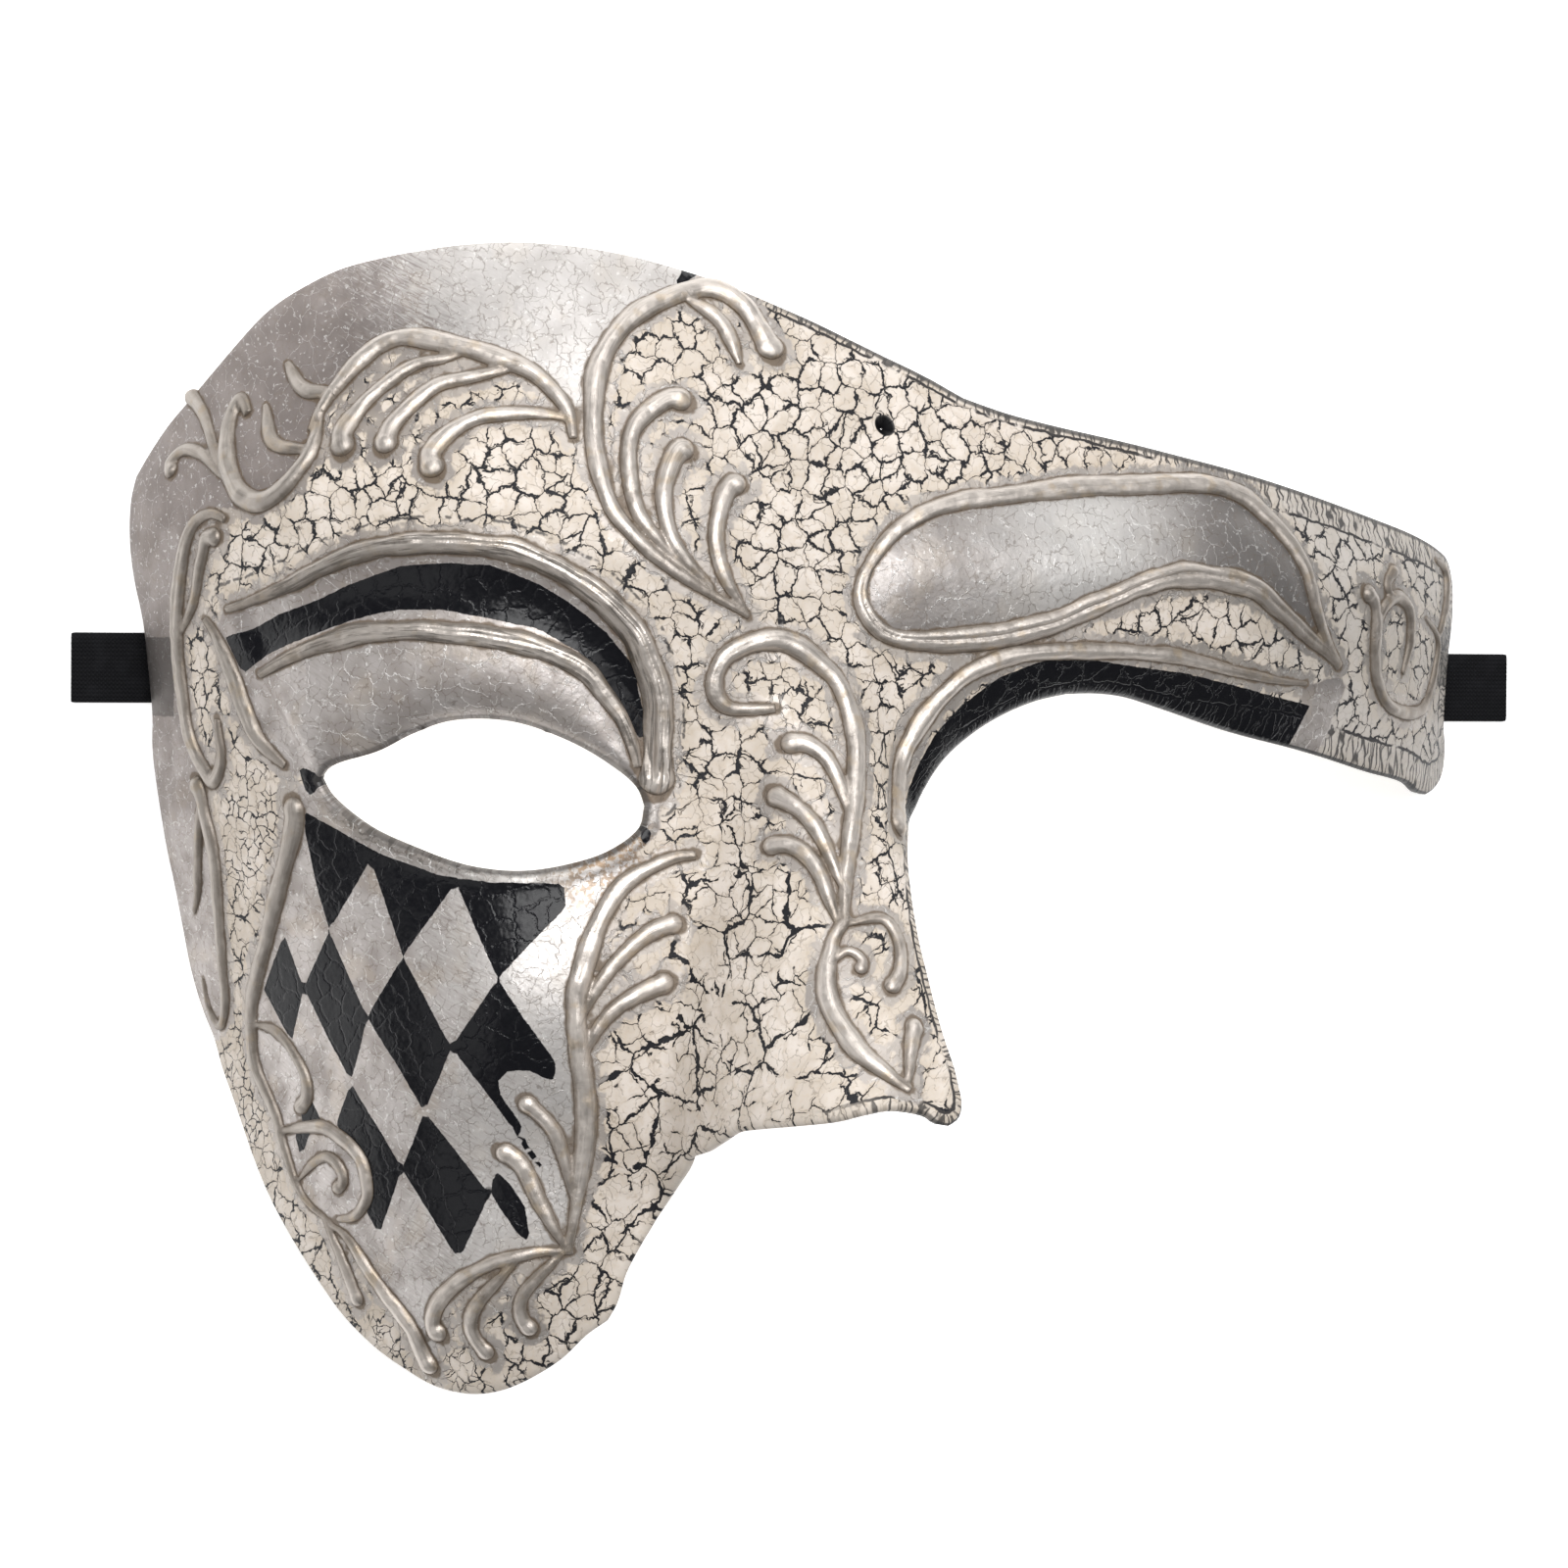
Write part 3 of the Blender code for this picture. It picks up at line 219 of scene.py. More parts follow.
# Painted areas. Columns: name, border as rows of (angle, height)
REGIONS = {
    "forehead silver": ((-9.8, 86.0), (-10.2, 78.3), (-14.3, 76.4), (-18.5, 74.1), (-21.7, 69.9), (-23.4, 65.5), (-23.9, 60.0),
                        (-24.2, 54.7), (-24.7, 53.1), (-25.0, 55.6), (-25.8, 59.1), (-28.4, 62.7), (-31.3, 65.1), (-35.4, 67.4),
                        (-39.1, 68.8), (-43.0, 69.8), (-45.7, 70.1), (-48.2, 69.0), (-50.1, 66.5), (-51.8, 63.0), (-53.4, 59.0),
                        (-53.8, 55.6), (-53.2, 53.0), (-54.0, 50.3), (-55.8, 47.1), (-58.1, 45.4), (-60.4, 44.3), (-64.5, 44.8),
                        (-67.2, 43.1), (-68.8, 40.2), (-69.8, 36.8), (-70.6, 33.3), (-71.2, 28.4), (-71.6, 23.5), (-71.9, 18.4),
                        (-72.0, 13.9), (-71.0, 8.9), (-71.1, 4.9), (-70.9, 2.9), (-70.6, -1.1), (-70.0, -5.0), (-69.8, -9.5),
                        (-70.0, -14.6), (-70.3, -19.6), (-70.5, -24.6), (-70.5, -29.7), (-71.7, -34.3), (-73.8, -36.6),
                        (-79.0, -38.0), (-90.0, -36.0), (-90.0, 60.0), (-78.0, 78.0), (-60.0, 92.0), (-30.0, 95.0)),
    "lids silver": ((-63.4, 30.2), (-60.0, 31.3), (-55.6, 33.4), (-51.7, 35.6), (-48.0, 37.6), (-44.5, 39.0), (-41.2, 39.6),
                    (-38.0, 39.6), (-33.6, 39.0), (-30.2, 37.8), (-27.2, 35.6), (-24.4, 33.2), (-22.0, 30.3), (-19.6, 26.3),
                    (-18.1, 21.9), (-17.0, 17.5), (-16.6, 13.2), (-16.7, 8.8), (-16.8, 4.4), (-17.4, -1.7), (-18.9, 0.0),
                    (-20.4, 2.9), (-24.4, 6.6), (-30.4, 10.5), (-37.3, 11.7), (-44.5, 8.1), (-51.1, 4.9), (-55.5, 4.0),
                    (-56.7, 4.9), (-58.5, 7.8), (-60.2, 10.8), (-61.6, 14.8), (-62.6, 19.3), (-63.8, 22.7), (-65.0, 26.3)),
    "far loop silver": ((52.5, 21.3), (50.9, 25.3), (49.1, 32.0), (48.2, 39.9), (47.2, 44.5), (45.8, 48.1), (43.0, 49.7),
                        (36.8, 49.2), (30.3, 48.5), (23.2, 47.1), (17.3, 46.0), (12.3, 43.9), (8.1, 40.0), (5.2, 34.7),
                        (4.9, 30.1), (6.7, 25.8), (10.0, 24.0), (14.6, 24.2), (20.0, 25.2), (24.6, 27.2), (29.0, 30.4),
                        (32.9, 33.4), (37.3, 35.2), (40.4, 35.3), (43.1, 33.7), (45.6, 30.5), (48.2, 27.2), (51.0, 24.1)),
    "far flare silver": ((49.3, 18.3), (52.9, 20.0), (53.5, 18.4), (53.1, 16.6), (51.2, 7.0), (48.0, 7.0), (50.0, 15.0), (49.0, 16.5)),
    "cheek silver": ((-55.6, 2.5), (-55.8, -1.0), (-56.5, -4.9), (-57.8, -8.9), (-58.9, -12.9), (-60.7, -17.4), (-62.3, -21.3),
                     (-63.9, -25.4), (-65.3, -29.5), (-66.0, -33.0), (-66.5, -36.6), (-66.1, -40.7), (-64.4, -44.8),
                     (-63.0, -48.3), (-62.3, -52.5), (-61.1, -56.5), (-59.8, -60.0), (-57.1, -62.6), (-55.6, -63.6),
                     (-53.5, -65.4), (-51.5, -69.0), (-49.6, -72.4), (-47.4, -76.2), (-45.7, -79.4), (-44.8, -82.9),
                     (-43.9, -85.8), (-42.1, -82.3), (-43.2, -79.3), (-42.0, -75.4), (-39.3, -71.8), (-36.2, -69.7),
                     (-32.7, -68.1), (-29.3, -66.9), (-26.3, -67.2), (-26.2, -63.4), (-25.9, -59.8), (-25.2, -55.9),
                     (-25.0, -51.7), (-24.7, -47.2), (-24.9, -42.6), (-25.1, -39.0), (-25.4, -36.5), (-25.5, -31.4),
                     (-25.3, -26.5), (-24.4, -21.4), (-23.0, -16.4), (-21.1, -12.4), (-18.9, -8.7), (-20.4, -6.1), (-24.4, -8.0),
                     (-28.3, -9.2), (-34.2, -9.4), (-40.4, -7.4), (-44.7, -4.7), (-50.2, -0.3), (-52.8, 3.2)),
    "brow black": ((-63.6, 25.2), (-60.3, 26.2), (-56.7, 28.4), (-51.9, 30.4), (-48.2, 32.6), (-45.3, 34.0), (-42.6, 35.3),
                   (-38.4, 35.7), (-33.7, 35.3), (-31.8, 34.2), (-29.0, 32.4), (-26.7, 30.3), (-24.4, 27.7), (-22.5, 25.2),
                   (-20.5, 21.6), (-19.5, 19.7), (-19.3, 16.8), (-18.5, 12.4), (-18.2, 10.0), (-19.2, 9.5), (-20.5, 13.2),
                   (-22.8, 18.3), (-25.1, 22.3), (-29.1, 25.8), (-33.8, 27.4), (-38.5, 28.7), (-42.8, 28.8), (-45.5, 28.2),
                   (-48.4, 27.1), (-52.9, 25.0), (-57.9, 22.6), (-61.5, 19.5)),
    "far socket black": ((10.0, -4.5), (9.5, -1.5), (10.2, 1.3), (11.5, 5.9), (13.3, 10.4), (16.2, 14.8), (20.2, 19.3), (24.5, 21.8),
                         (29.6, 21.9), (33.9, 20.9), (38.3, 20.1), (43.2, 18.2), (46.8, 16.6), (50.1, 15.3), (48.7, 9.5),
                         (48.0, 4.0), (36.0, 8.0), (28.0, 10.0), (22.0, 7.0), (17.0, 0.0), (13.0, -8.0)),
    "eye corner black": ((-55.3, 5.6), (-53.4, 5.0), (-52.4, 3.2), (-53.3, 1.6), (-54.3, 1.2), (-54.7, 2.9)),
    "inner corner black": ((-18.9, -3.3), (-18.1, -3.9), (-17.9, -5.0), (-18.7, -6.2), (-19.2, -5.2)),
    "rim blot black": ((-13.5, 79.0), (-12.4, 80.2), (-11.3, 83.0), (-9.4, 83.0), (-10.0, 80.4), (-11.4, 79.5), (-12.5, 78.7)),
    "cheek top black": ((-54.8, -1.2), (-50.3, -4.4), (-45.8, -7.6), (-39.3, -10.7), (-34.2, -11.8), (-26.8, -11.9),
                        (-26.6, -15.4), (-29.9, -20.6), (-33.1, -26.0), (-35.3, -18.9), (-37.6, -11.8), (-40.3, -17.2),
                        (-43.2, -22.8), (-45.1, -15.7), (-47.1, -8.5), (-49.6, -13.8), (-52.4, -19.2), (-54.0, -11.8),
                        (-55.0, -4.4)),
    "lozenge 1 black": ((-52.4, -19.2), (-50.1, -25.6), (-47.6, -32.0), (-48.9, -36.8), (-50.5, -41.8), (-53.6, -34.9),
                        (-56.5, -27.9), (-54.4, -23.5)),
    "lozenge 2 black": ((-43.2, -22.8), (-40.4, -29.5), (-37.9, -36.3), (-39.5, -41.1), (-41.4, -46.0), (-44.3, -39.0),
                        (-47.6, -32.0), (-45.3, -27.4)),
    "lozenge 3 black": ((-33.1, -26.0), (-30.5, -32.0), (-27.6, -38.4), (-27.7, -41.2), (-28.6, -40.9), (-30.0, -39.7),
                        (-32.2, -39.6), (-33.3, -41.2), (-33.1, -43.4), (-32.0, -45.8), (-31.1, -48.0), (-31.5, -49.6),
                        (-34.7, -42.7), (-37.9, -36.3), (-35.4, -31.1)),
    "lozenge 4 black": ((-59.1, -19.8), (-56.5, -27.9), (-59.1, -36.2), (-63.2, -28.4)),
    "lozenge 5 black": ((-50.5, -42.1), (-47.6, -48.2), (-44.8, -54.8), (-46.5, -59.9), (-48.5, -65.1), (-50.0, -61.7),
                        (-49.3, -58.1), (-50.6, -53.2), (-52.2, -50.3), (-53.3, -48.5)),
    "lozenge 6 black": ((-57.5, -43.1), (-55.4, -48.4), (-57.3, -49.4), (-58.8, -52.5), (-59.7, -53.4), (-60.2, -50.3),
                        (-58.7, -48.7), (-58.7, -46.2)),
    "lozenge 7 black": ((-41.4, -46.0), (-38.1, -52.1), (-34.7, -58.4), (-36.3, -63.0), (-37.9, -67.3), (-38.7, -67.7),
                        (-41.8, -61.1), (-44.8, -54.9), (-43.0, -50.4)),
    "lozenge 8 black": ((-34.2, -55.1), (-34.6, -58.2), (-32.9, -61.9), (-31.1, -65.5), (-30.5, -64.5), (-31.0, -60.0),
                        (-32.6, -56.6), (-33.8, -55.1)),
    "lozenge 9 black": ((-31.7, -49.5), (-31.0, -49.6), (-29.7, -52.6), (-28.6, -55.5), (-29.7, -54.1), (-30.9, -51.6)),
    "strap stain right": ((-90.0, 25.9), (-72.3, 25.4), (-74.1, 13.3), (-90.0, 14.0)),
    "strap stain left": ((64.2, 28.2), (75.0, 28.6), (75.0, 18.2), (65.4, 18.8)),
}
# How large the crackle's cells are. Columns: angle, height, reach, cell size (mm); elsewhere CELL
CELL = 3.3
CELLS = (
    (-8, -35, 26, 7.0),
    (-22, -8, 16, 6.0),
    (-20, -50, 16, 6.5),
    (0, 12, 14, 4.6),
    (-62, -5, 14, 2.1),
    (-66, -45, 16, 2.2),
    (-45, -80, 22, 2.4),
    (60, 20, 10, 2.8),
)


# ---------------------------------------------------------------- the skin
def column(table, number, height):
    """Smooth curve through one column of a table whose first column is the height."""
    rows = sorted(table)
    x = np.array([row[0] for row in rows], float)
    y = np.array([row[number] for row in rows], float)
    slope = np.gradient(y, x)
    height = np.clip(height, x[0], x[-1])
    i = np.clip(np.searchsorted(x, height) - 1, 0, len(x) - 2)
    step = x[i + 1] - x[i]
    t = (height - x[i]) / step
    return ((2 * t**3 - 3 * t**2 + 1) * y[i] + (t**3 - 2 * t**2 + t) * step * slope[i]
            + (3 * t**2 - 2 * t**3) * y[i + 1] + (t**3 - t**2) * step * slope[i + 1])


def radius(angle, height):
    """Distance of the skin from the head's axis."""
    turn = np.radians(angle)
    arc = AXIS_DEPTH * turn
    half = np.where(angle < 0, column(HEAD, 1, height), column(HEAD, 2, height))
    power = np.where(angle < 0, SQUARE_NEAR, SQUARE_FAR)
    r = (np.abs(np.sin(turn) / half) ** power + np.abs(np.cos(turn) / column(HEAD, 3, height)) ** power) ** (-1 / power)
    across = np.clip(np.abs(arc) / column(NOSE, 2, height), 0, 1)
    r = r + column(NOSE, 1, height) * np.cos(np.pi * across ** NOSE_ROUND / 2) ** 2
    for _, arc0, height0, length, breadth, rise, swing in SWELLS:
        c, s = math.cos(math.radians(swing)), math.sin(math.radians(swing))
        u, v = (arc - arc0) * c + (height - height0) * s, (height - height0) * c - (arc - arc0) * s
        r = r + rise * np.exp(-(u / length) ** 2 - (v / breadth) ** 2)
    return r


def skin(angle, height):
    angle, height = np.broadcast_arrays(np.asarray(angle, float), np.asarray(height, float))
    r, turn = radius(angle, height), np.radians(angle)
    return np.stack([r * np.sin(turn), height, r * np.cos(turn) - AXIS_DEPTH], -1)


def outward(angle, height):
    """Unit normal of the skin."""
    e = 0.15
    n = np.cross(skin(angle + e, height) - skin(angle - e, height), skin(angle, height + e) - skin(angle, height - e))
    return n / np.linalg.norm(n, axis=-1, keepdims=True)


def smooth_path(rows, spacing):
    """Evenly spaced points (angle, height) on a smooth curve through the rows."""
    p = np.array(rows, float)
    m = len(p)
    ends = np.vstack([2 * p[0] - p[1], p, 2 * p[-1] - p[-2]])
    fine = []
    for i in range(m - 1):
        a, b, c, d = ends[i:i + 4]
        knots = [0.0]
        for q, r in ((a, b), (b, c), (c, d)):
            knots.append(knots[-1] + max(np.hypot(*(r - q)) ** 0.5, 1e-6))
        t = np.linspace(knots[1], knots[2], 24, endpoint=False)[:, None]
        mix = lambda u, v, i0, i1: u + (v - u) * (t - knots[i0]) / (knots[i1] - knots[i0])
        ab, bc, cd = mix(a, b, 0, 1), mix(b, c, 1, 2), mix(c, d, 2, 3)
        fine.append(mix(mix(ab, bc, 0, 2), mix(bc, cd, 1, 3), 1, 2))
    fine = np.vstack(fine + [p[-1:]])
    run = np.r_[0, np.cumsum(np.linalg.norm(np.diff(skin(fine[:, 0], fine[:, 1]), axis=0), axis=1))]
    count = max(3, int(round(run[-1] / spacing)) + 1)
    return fine, run, count


def sample(rows, spacing):
    fine, run, count = smooth_path(rows, spacing)
    at = np.linspace(0, run[-1], count)
    return np.stack([np.interp(at, run, fine[:, k]) for k in (0, 1)], -1)


def loop(edges, spacing):
    return np.vstack([sample(rows, spacing)[:-1] for rows in edges.values()])


def inside(points, ring):
    x, y = points[:, 0], points[:, 1]
    hit = np.zeros(len(points), bool)
    for (x1, y1), (x2, y2) in zip(ring, np.roll(ring, -1, axis=0)):
        if y1 != y2:
            hit ^= ((y1 > y) != (y2 > y)) & (x < (x2 - x1) * (y - y1) / (y2 - y1) + x1)
    return hit


def clearance(points, ring):
    a, b = ring, np.roll(ring, -1, axis=0)
    ab = b - a
    t = np.clip(((points[:, None] - a) * ab).sum(-1) / np.maximum((ab ** 2).sum(-1), 1e-9), 0, 1)
    return np.linalg.norm(points[:, None] - (a + t[..., None] * ab), axis=-1).min(1)


# ---------------------------------------------------------------- places
def rest_turn():
    return np.array(Matrix.Rotation(math.radians(REST_PITCH), 3, "X") @ Matrix.Rotation(math.radians(REST_ROLL), 3, "Y"))


TURN = rest_turn()


def to_world(points):
    """Mask millimetres to metres in the resting pose."""
    return (np.asarray(points) @ TURN.T - OFFSET) * 0.001


def to_mask(points):
    """Metres in the resting pose to mask millimetres."""
    return (np.asarray(points) * 1000.0 + OFFSET) @ TURN


def arc(p):
    """Skin places unrolled to millimetres."""
    p = np.asarray(p, float)
    return np.stack([np.radians(p[..., 0]) * AXIS_DEPTH, p[..., 1]], -1)


def smooth(x, low, high):
    t = np.clip((np.asarray(x, float) - low) / (high - low), 0, 1)
    return t * t * (3 - 2 * t)


def line_distance(points, line, closed=False, reach=18.0):
    """Distance in the unrolled plane from each point to a line of points, as far as reach from it."""
    a = line if closed else line[:-1]
    b = np.roll(line, -1, axis=0) if closed else line[1:]
    out = np.full(len(points), reach * reach)
    near = np.nonzero(((points > line.min(0) - reach) & (points < line.max(0) + reach)).all(1))[0]
    x, y = points[near, 0], points[near, 1]
    best = np.full(len(near), reach * reach)
    for p, q in zip(a, b):
        dx, dy = q - p
        t = np.clip(((x - p[0]) * dx + (y - p[1]) * dy) / max(dx * dx + dy * dy, 1e-9), 0, 1)
        best = np.minimum(best, (x - p[0] - t * dx) ** 2 + (y - p[1] - t * dy) ** 2)
    out[near] = best
    return np.sqrt(out)


def signed(points, ring):
    """Distance to a border, less than zero inside it."""
    d = line_distance(points, ring, True)
    return np.where(inside(points, ring), -d, d)


def scroll_line(name, number=0, spacing=1.0):
    rows = [row[3] for row in SCROLLS if row[0] == name][number]
    return sample(rows, spacing)


BROW_LINE = arc(scroll_line("brow_arch_rib"))
LID_LINE = arc(scroll_line("eyelid_rib"))
ARCH_LINE = arc(scroll_line("far_eye_arch"))
LID_EDGE = arc(sample(EYE["upper lid"], 1.0))
LIP_EDGE = arc(sample(EYE["lower lid"], 1.0))
CUT_EDGE = arc(np.vstack([sample(OUTLINE["under far brow"], 1.0), sample(OUTLINE["far eye"], 1.0)]))
GUTTER = np.vstack([BROW_LINE, LID_LINE[::-1]])
LID = np.vstack([LID_LINE, LID_EDGE])
SOCKET = np.vstack([ARCH_LINE, CUT_EDGE])
DOME = arc(REGIONS["far loop silver"])


def relief(angle, height):
    """Soft shapes on the skin, in millimetres outward: lids, sockets, domes and a little hand-made unevenness."""
    place = np.stack(np.broadcast_arrays(np.asarray(angle, float), np.asarray(height, float)), -1).reshape(-1, 2)
    p = arc(place)
    out = np.zeros(len(p))
    d_brow, d_lid, d_edge = (line_distance(p, line) for line in (BROW_LINE, LID_LINE, LID_EDGE))
    # the channel between the brow's two mouldings
    out -= 1.3 * np.sin(np.pi * d_brow / (d_brow + d_lid + 1e-6)) * smooth(-signed(p, GUTTER), 0, 2.5)
    # the eyelid bulges and rolls under at its edge
    s = d_lid / (d_lid + d_edge + 1e-6)
    bulge = np.sin(np.pi * s ** 1.3) * smooth(-signed(p, LID), 0, 1.5)
    out += 1.5 * bulge - 0.5 * smooth(s, 0.8, 1.0) * (signed(p, LID) < 0)
    # raised lip under the eye
    out += 0.55 * np.exp(-((line_distance(p, LIP_EDGE) - 1.5) / 1.0) ** 2)
    # the far socket rolls inward to the cut edge
    d_arch, d_cut = line_distance(p, ARCH_LINE), line_distance(p, CUT_EDGE)
    deep = (d_arch / (d_arch + d_cut + 1e-6)) ** 1.5
    deep = np.where(signed(p, SOCKET) < 0.4, deep, 0)
    out -= 3.0 * deep * smooth(place[:, 0], 9, 17) * (1 - smooth(place[:, 0], 43, 50))
    # the dome inside the far brow's loop
    out += 1.3 * (1 - np.exp(-np.clip(-signed(p, DOME), 0, None) / 4.0))
    wave = np.array([noise.noise(Vector((x * 0.11, y * 0.11, 3.7))) for x, y in p])
    return (out + 0.16 * wave).reshape(np.shape(np.broadcast_arrays(angle, height)[0]))


def surface(angle, height):
    """Points of the finished skin and their outward normals, in mask millimetres."""
    normal = outward(angle, height)
    return skin(angle, height) + normal * relief(angle, height)[..., None], normal


def place_of(points):
    """(angle, height) of mask points."""
    return np.stack([np.degrees(np.arctan2(points[:, 0], points[:, 2] + AXIS_DEPTH)), points[:, 1]], -1)


def seeded(count, wavelength, seed, step=1.0):
    """A smooth random run of numbers from -1 to 1."""
    return np.array([noise.noise(Vector((i * step / wavelength, seed * 7.13, 0.5))) for i in range(count)]) * 2.0


def mesh_piece(name, points, faces, world=True):
    mesh = bpy.data.meshes.new(name)
    mesh.from_pydata([tuple(p) for p in points], [], [tuple(int(i) for i in f) for f in faces])
    mesh.validate()
    mesh.shade_smooth()
    piece = bpy.data.objects.new(name, mesh)
    bpy.context.scene.collection.objects.link(piece)
    return piece


def store(mesh, name, values):
    """A number or three numbers for each vertex, read by the materials."""
    values = np.asarray(values, np.float32)
    kind, slot = ("FLOAT", "value") if values.ndim == 1 else ("FLOAT_VECTOR", "vector")
    mesh.attributes.new(name, kind, "POINT").data.foreach_set(slot, values.ravel())


# ---------------------------------------------------------------- the strokes of the mouldings
def stroke_samples(number, row, spacing=0.45):
    """Centre places, half widths and rises along one moulding, with the unevenness of a hand-laid line."""
    name, width, end, rows = row
    breadth, offset = BREADTH.get(name, OTHER_BREADTH)
    width = width * breadth
    fine, run, _ = smooth_path(rows, 1.0)
    length, r = run[-1], BULB * width * 0.86
    at = list(np.linspace(0, length, max(8, int(round(length / spacing)) + 1)))
    if end != "none":
        ball = list(r * (1 - np.cos(np.linspace(0.12, np.pi / 2, 6))))
        at = [s for s in at if s > ball[-1] + 0.1] + ball
        at = [length - s for s in at] + [0.0] if end == "end" else at + [length]
    at = np.array(sorted(set(round(s, 4) for s in at)))
    tip = TIP + (1 - TIP) * np.sin(np.pi / 2 * np.clip(at / (0.35 * length), 0, 1))
    tail = TIP + (1 - TIP) * np.sin(np.pi / 2 * np.clip((length - at) / (0.35 * length), 0, 1))
    wide = width * {"none": np.minimum(tip, tail), "start": (0.62 + 0.44 * (1 - at / length)) * tail, "end": (0.62 + 0.44 * at / length) * tip}[end]
    rise = SCROLL_RISE * wide
    if end != "none":
        s = at if end == "start" else length - at
        ball = 2 * np.sqrt(np.clip(r * r - (s - r) ** 2, 0, None))
        wide = np.where(s < r, ball, np.maximum(ball, wide))
        rise = np.where(s < r, SCROLL_RISE * wide, np.maximum(rise, SCROLL_RISE * wide))
    count = len(at)
    wobble = np.interp(at, np.arange(int(length) + 3), seeded(int(length) + 3, 5.0, number + 1))
    rough = np.interp(at, np.arange(int(length) + 3), seeded(int(length) + 3, 2.6, number + 31))
    wide = wide * (1 + 0.10 * wobble)
    rise = rise * (1 + 0.12 * rough)
    shift = offset + 0.12 * np.interp(at, np.arange(int(length) + 3), seeded(int(length) + 3, 6.5, number + 61))
    angle, height = (np.interp(at, run, fine[:, k]) for k in (0, 1))
    ahead = [np.interp(np.clip(at + d, 0, length), run, fine[:, k]) for d in (0.6, -0.6) for k in (0, 1)]
    along = skin(ahead[0], ahead[1]) - skin(ahead[2], ahead[3])
    along /= np.linalg.norm(along, axis=-1, keepdims=True)
    up = outward(angle, height)
    side = np.cross(up, along)
    side /= np.linalg.norm(side, axis=-1, keepdims=True)
    centre = skin(angle, height) + side * shift[:, None]
    return dict(at=at, centre=centre, side=side, up=up, half=np.maximum(wide / 2, 0.12), rise=np.maximum(rise, 0.1), count=count)


# Full breadth of the laid paste at its foot, of the ridge's breadth, and its shift to the left of its run. Columns: piece, breadth, shift
BREADTH = {
    "brow_arch_rib": (1.36, -0.9),
    "eyelid_rib": (1.62, -0.2),
    "far_brow_loop": (1.55, 0.0),
    "far_eye_arch": (1.50, 0.0),
    "temple_rib": (1.60, 0.0),
    "side_scroll_upper": (1.45, 0.0),
    "side_scroll_lower": (1.40, 0.0),
    "far_temple_scroll": (1.45, 0.0),
    "cheek_inner_scroll": (1.20, 0.0),
    "cheek_outer_scroll": (1.30, 0.0),
}
OTHER_BREADTH = (1.38, 0.0)

# Lengthwise grooves. Columns: piece, stroke, place across from -1 to 1, depth, breadth, wander
GROOVES = (
    ("brow_arch_rib", 0, 0.30, 0.60, 0.12, 0.07),
    ("brow_arch_rib", 0, -0.34, 0.28, 0.10, 0.10),
    ("eyelid_rib", 0, 0.28, 0.42, 0.11, 0.09),
    ("eyelid_rib", 0, -0.30, 0.30, 0.11, 0.12),
    ("far_brow_loop", 1, 0.10, 0.60, 0.12, 0.06),
    ("far_eye_arch", 0, 0.45, 0.25, 0.12, 0.15),
    ("side_scroll_upper", 0, 0.10, 0.36, 0.13, 0.12),
    ("cheek_inner_scroll", 0, -0.30, 0.22, 0.12, 0.15),
    ("nose_scroll", 0, 0.25, 0.20, 0.12, 0.15),
    ("temple_rib", 0, 0.25, 0.25, 0.15, 0.10),
)
LEAN = {"brow_arch_rib": 0.35, "eyelid_rib": 0.12}     # how much higher the left-hand side of the run stands
PROFILE = np.array([-1.0, -0.97, -0.9, -0.78, -0.62, -0.46, -0.3, -0.15, 0.0, 0.15, 0.3, 0.46, 0.62, 0.78, 0.9, 0.97, 1.0])
BEADS = [stroke_samples(i, row) for i, row in enumerate(SCROLLS)]


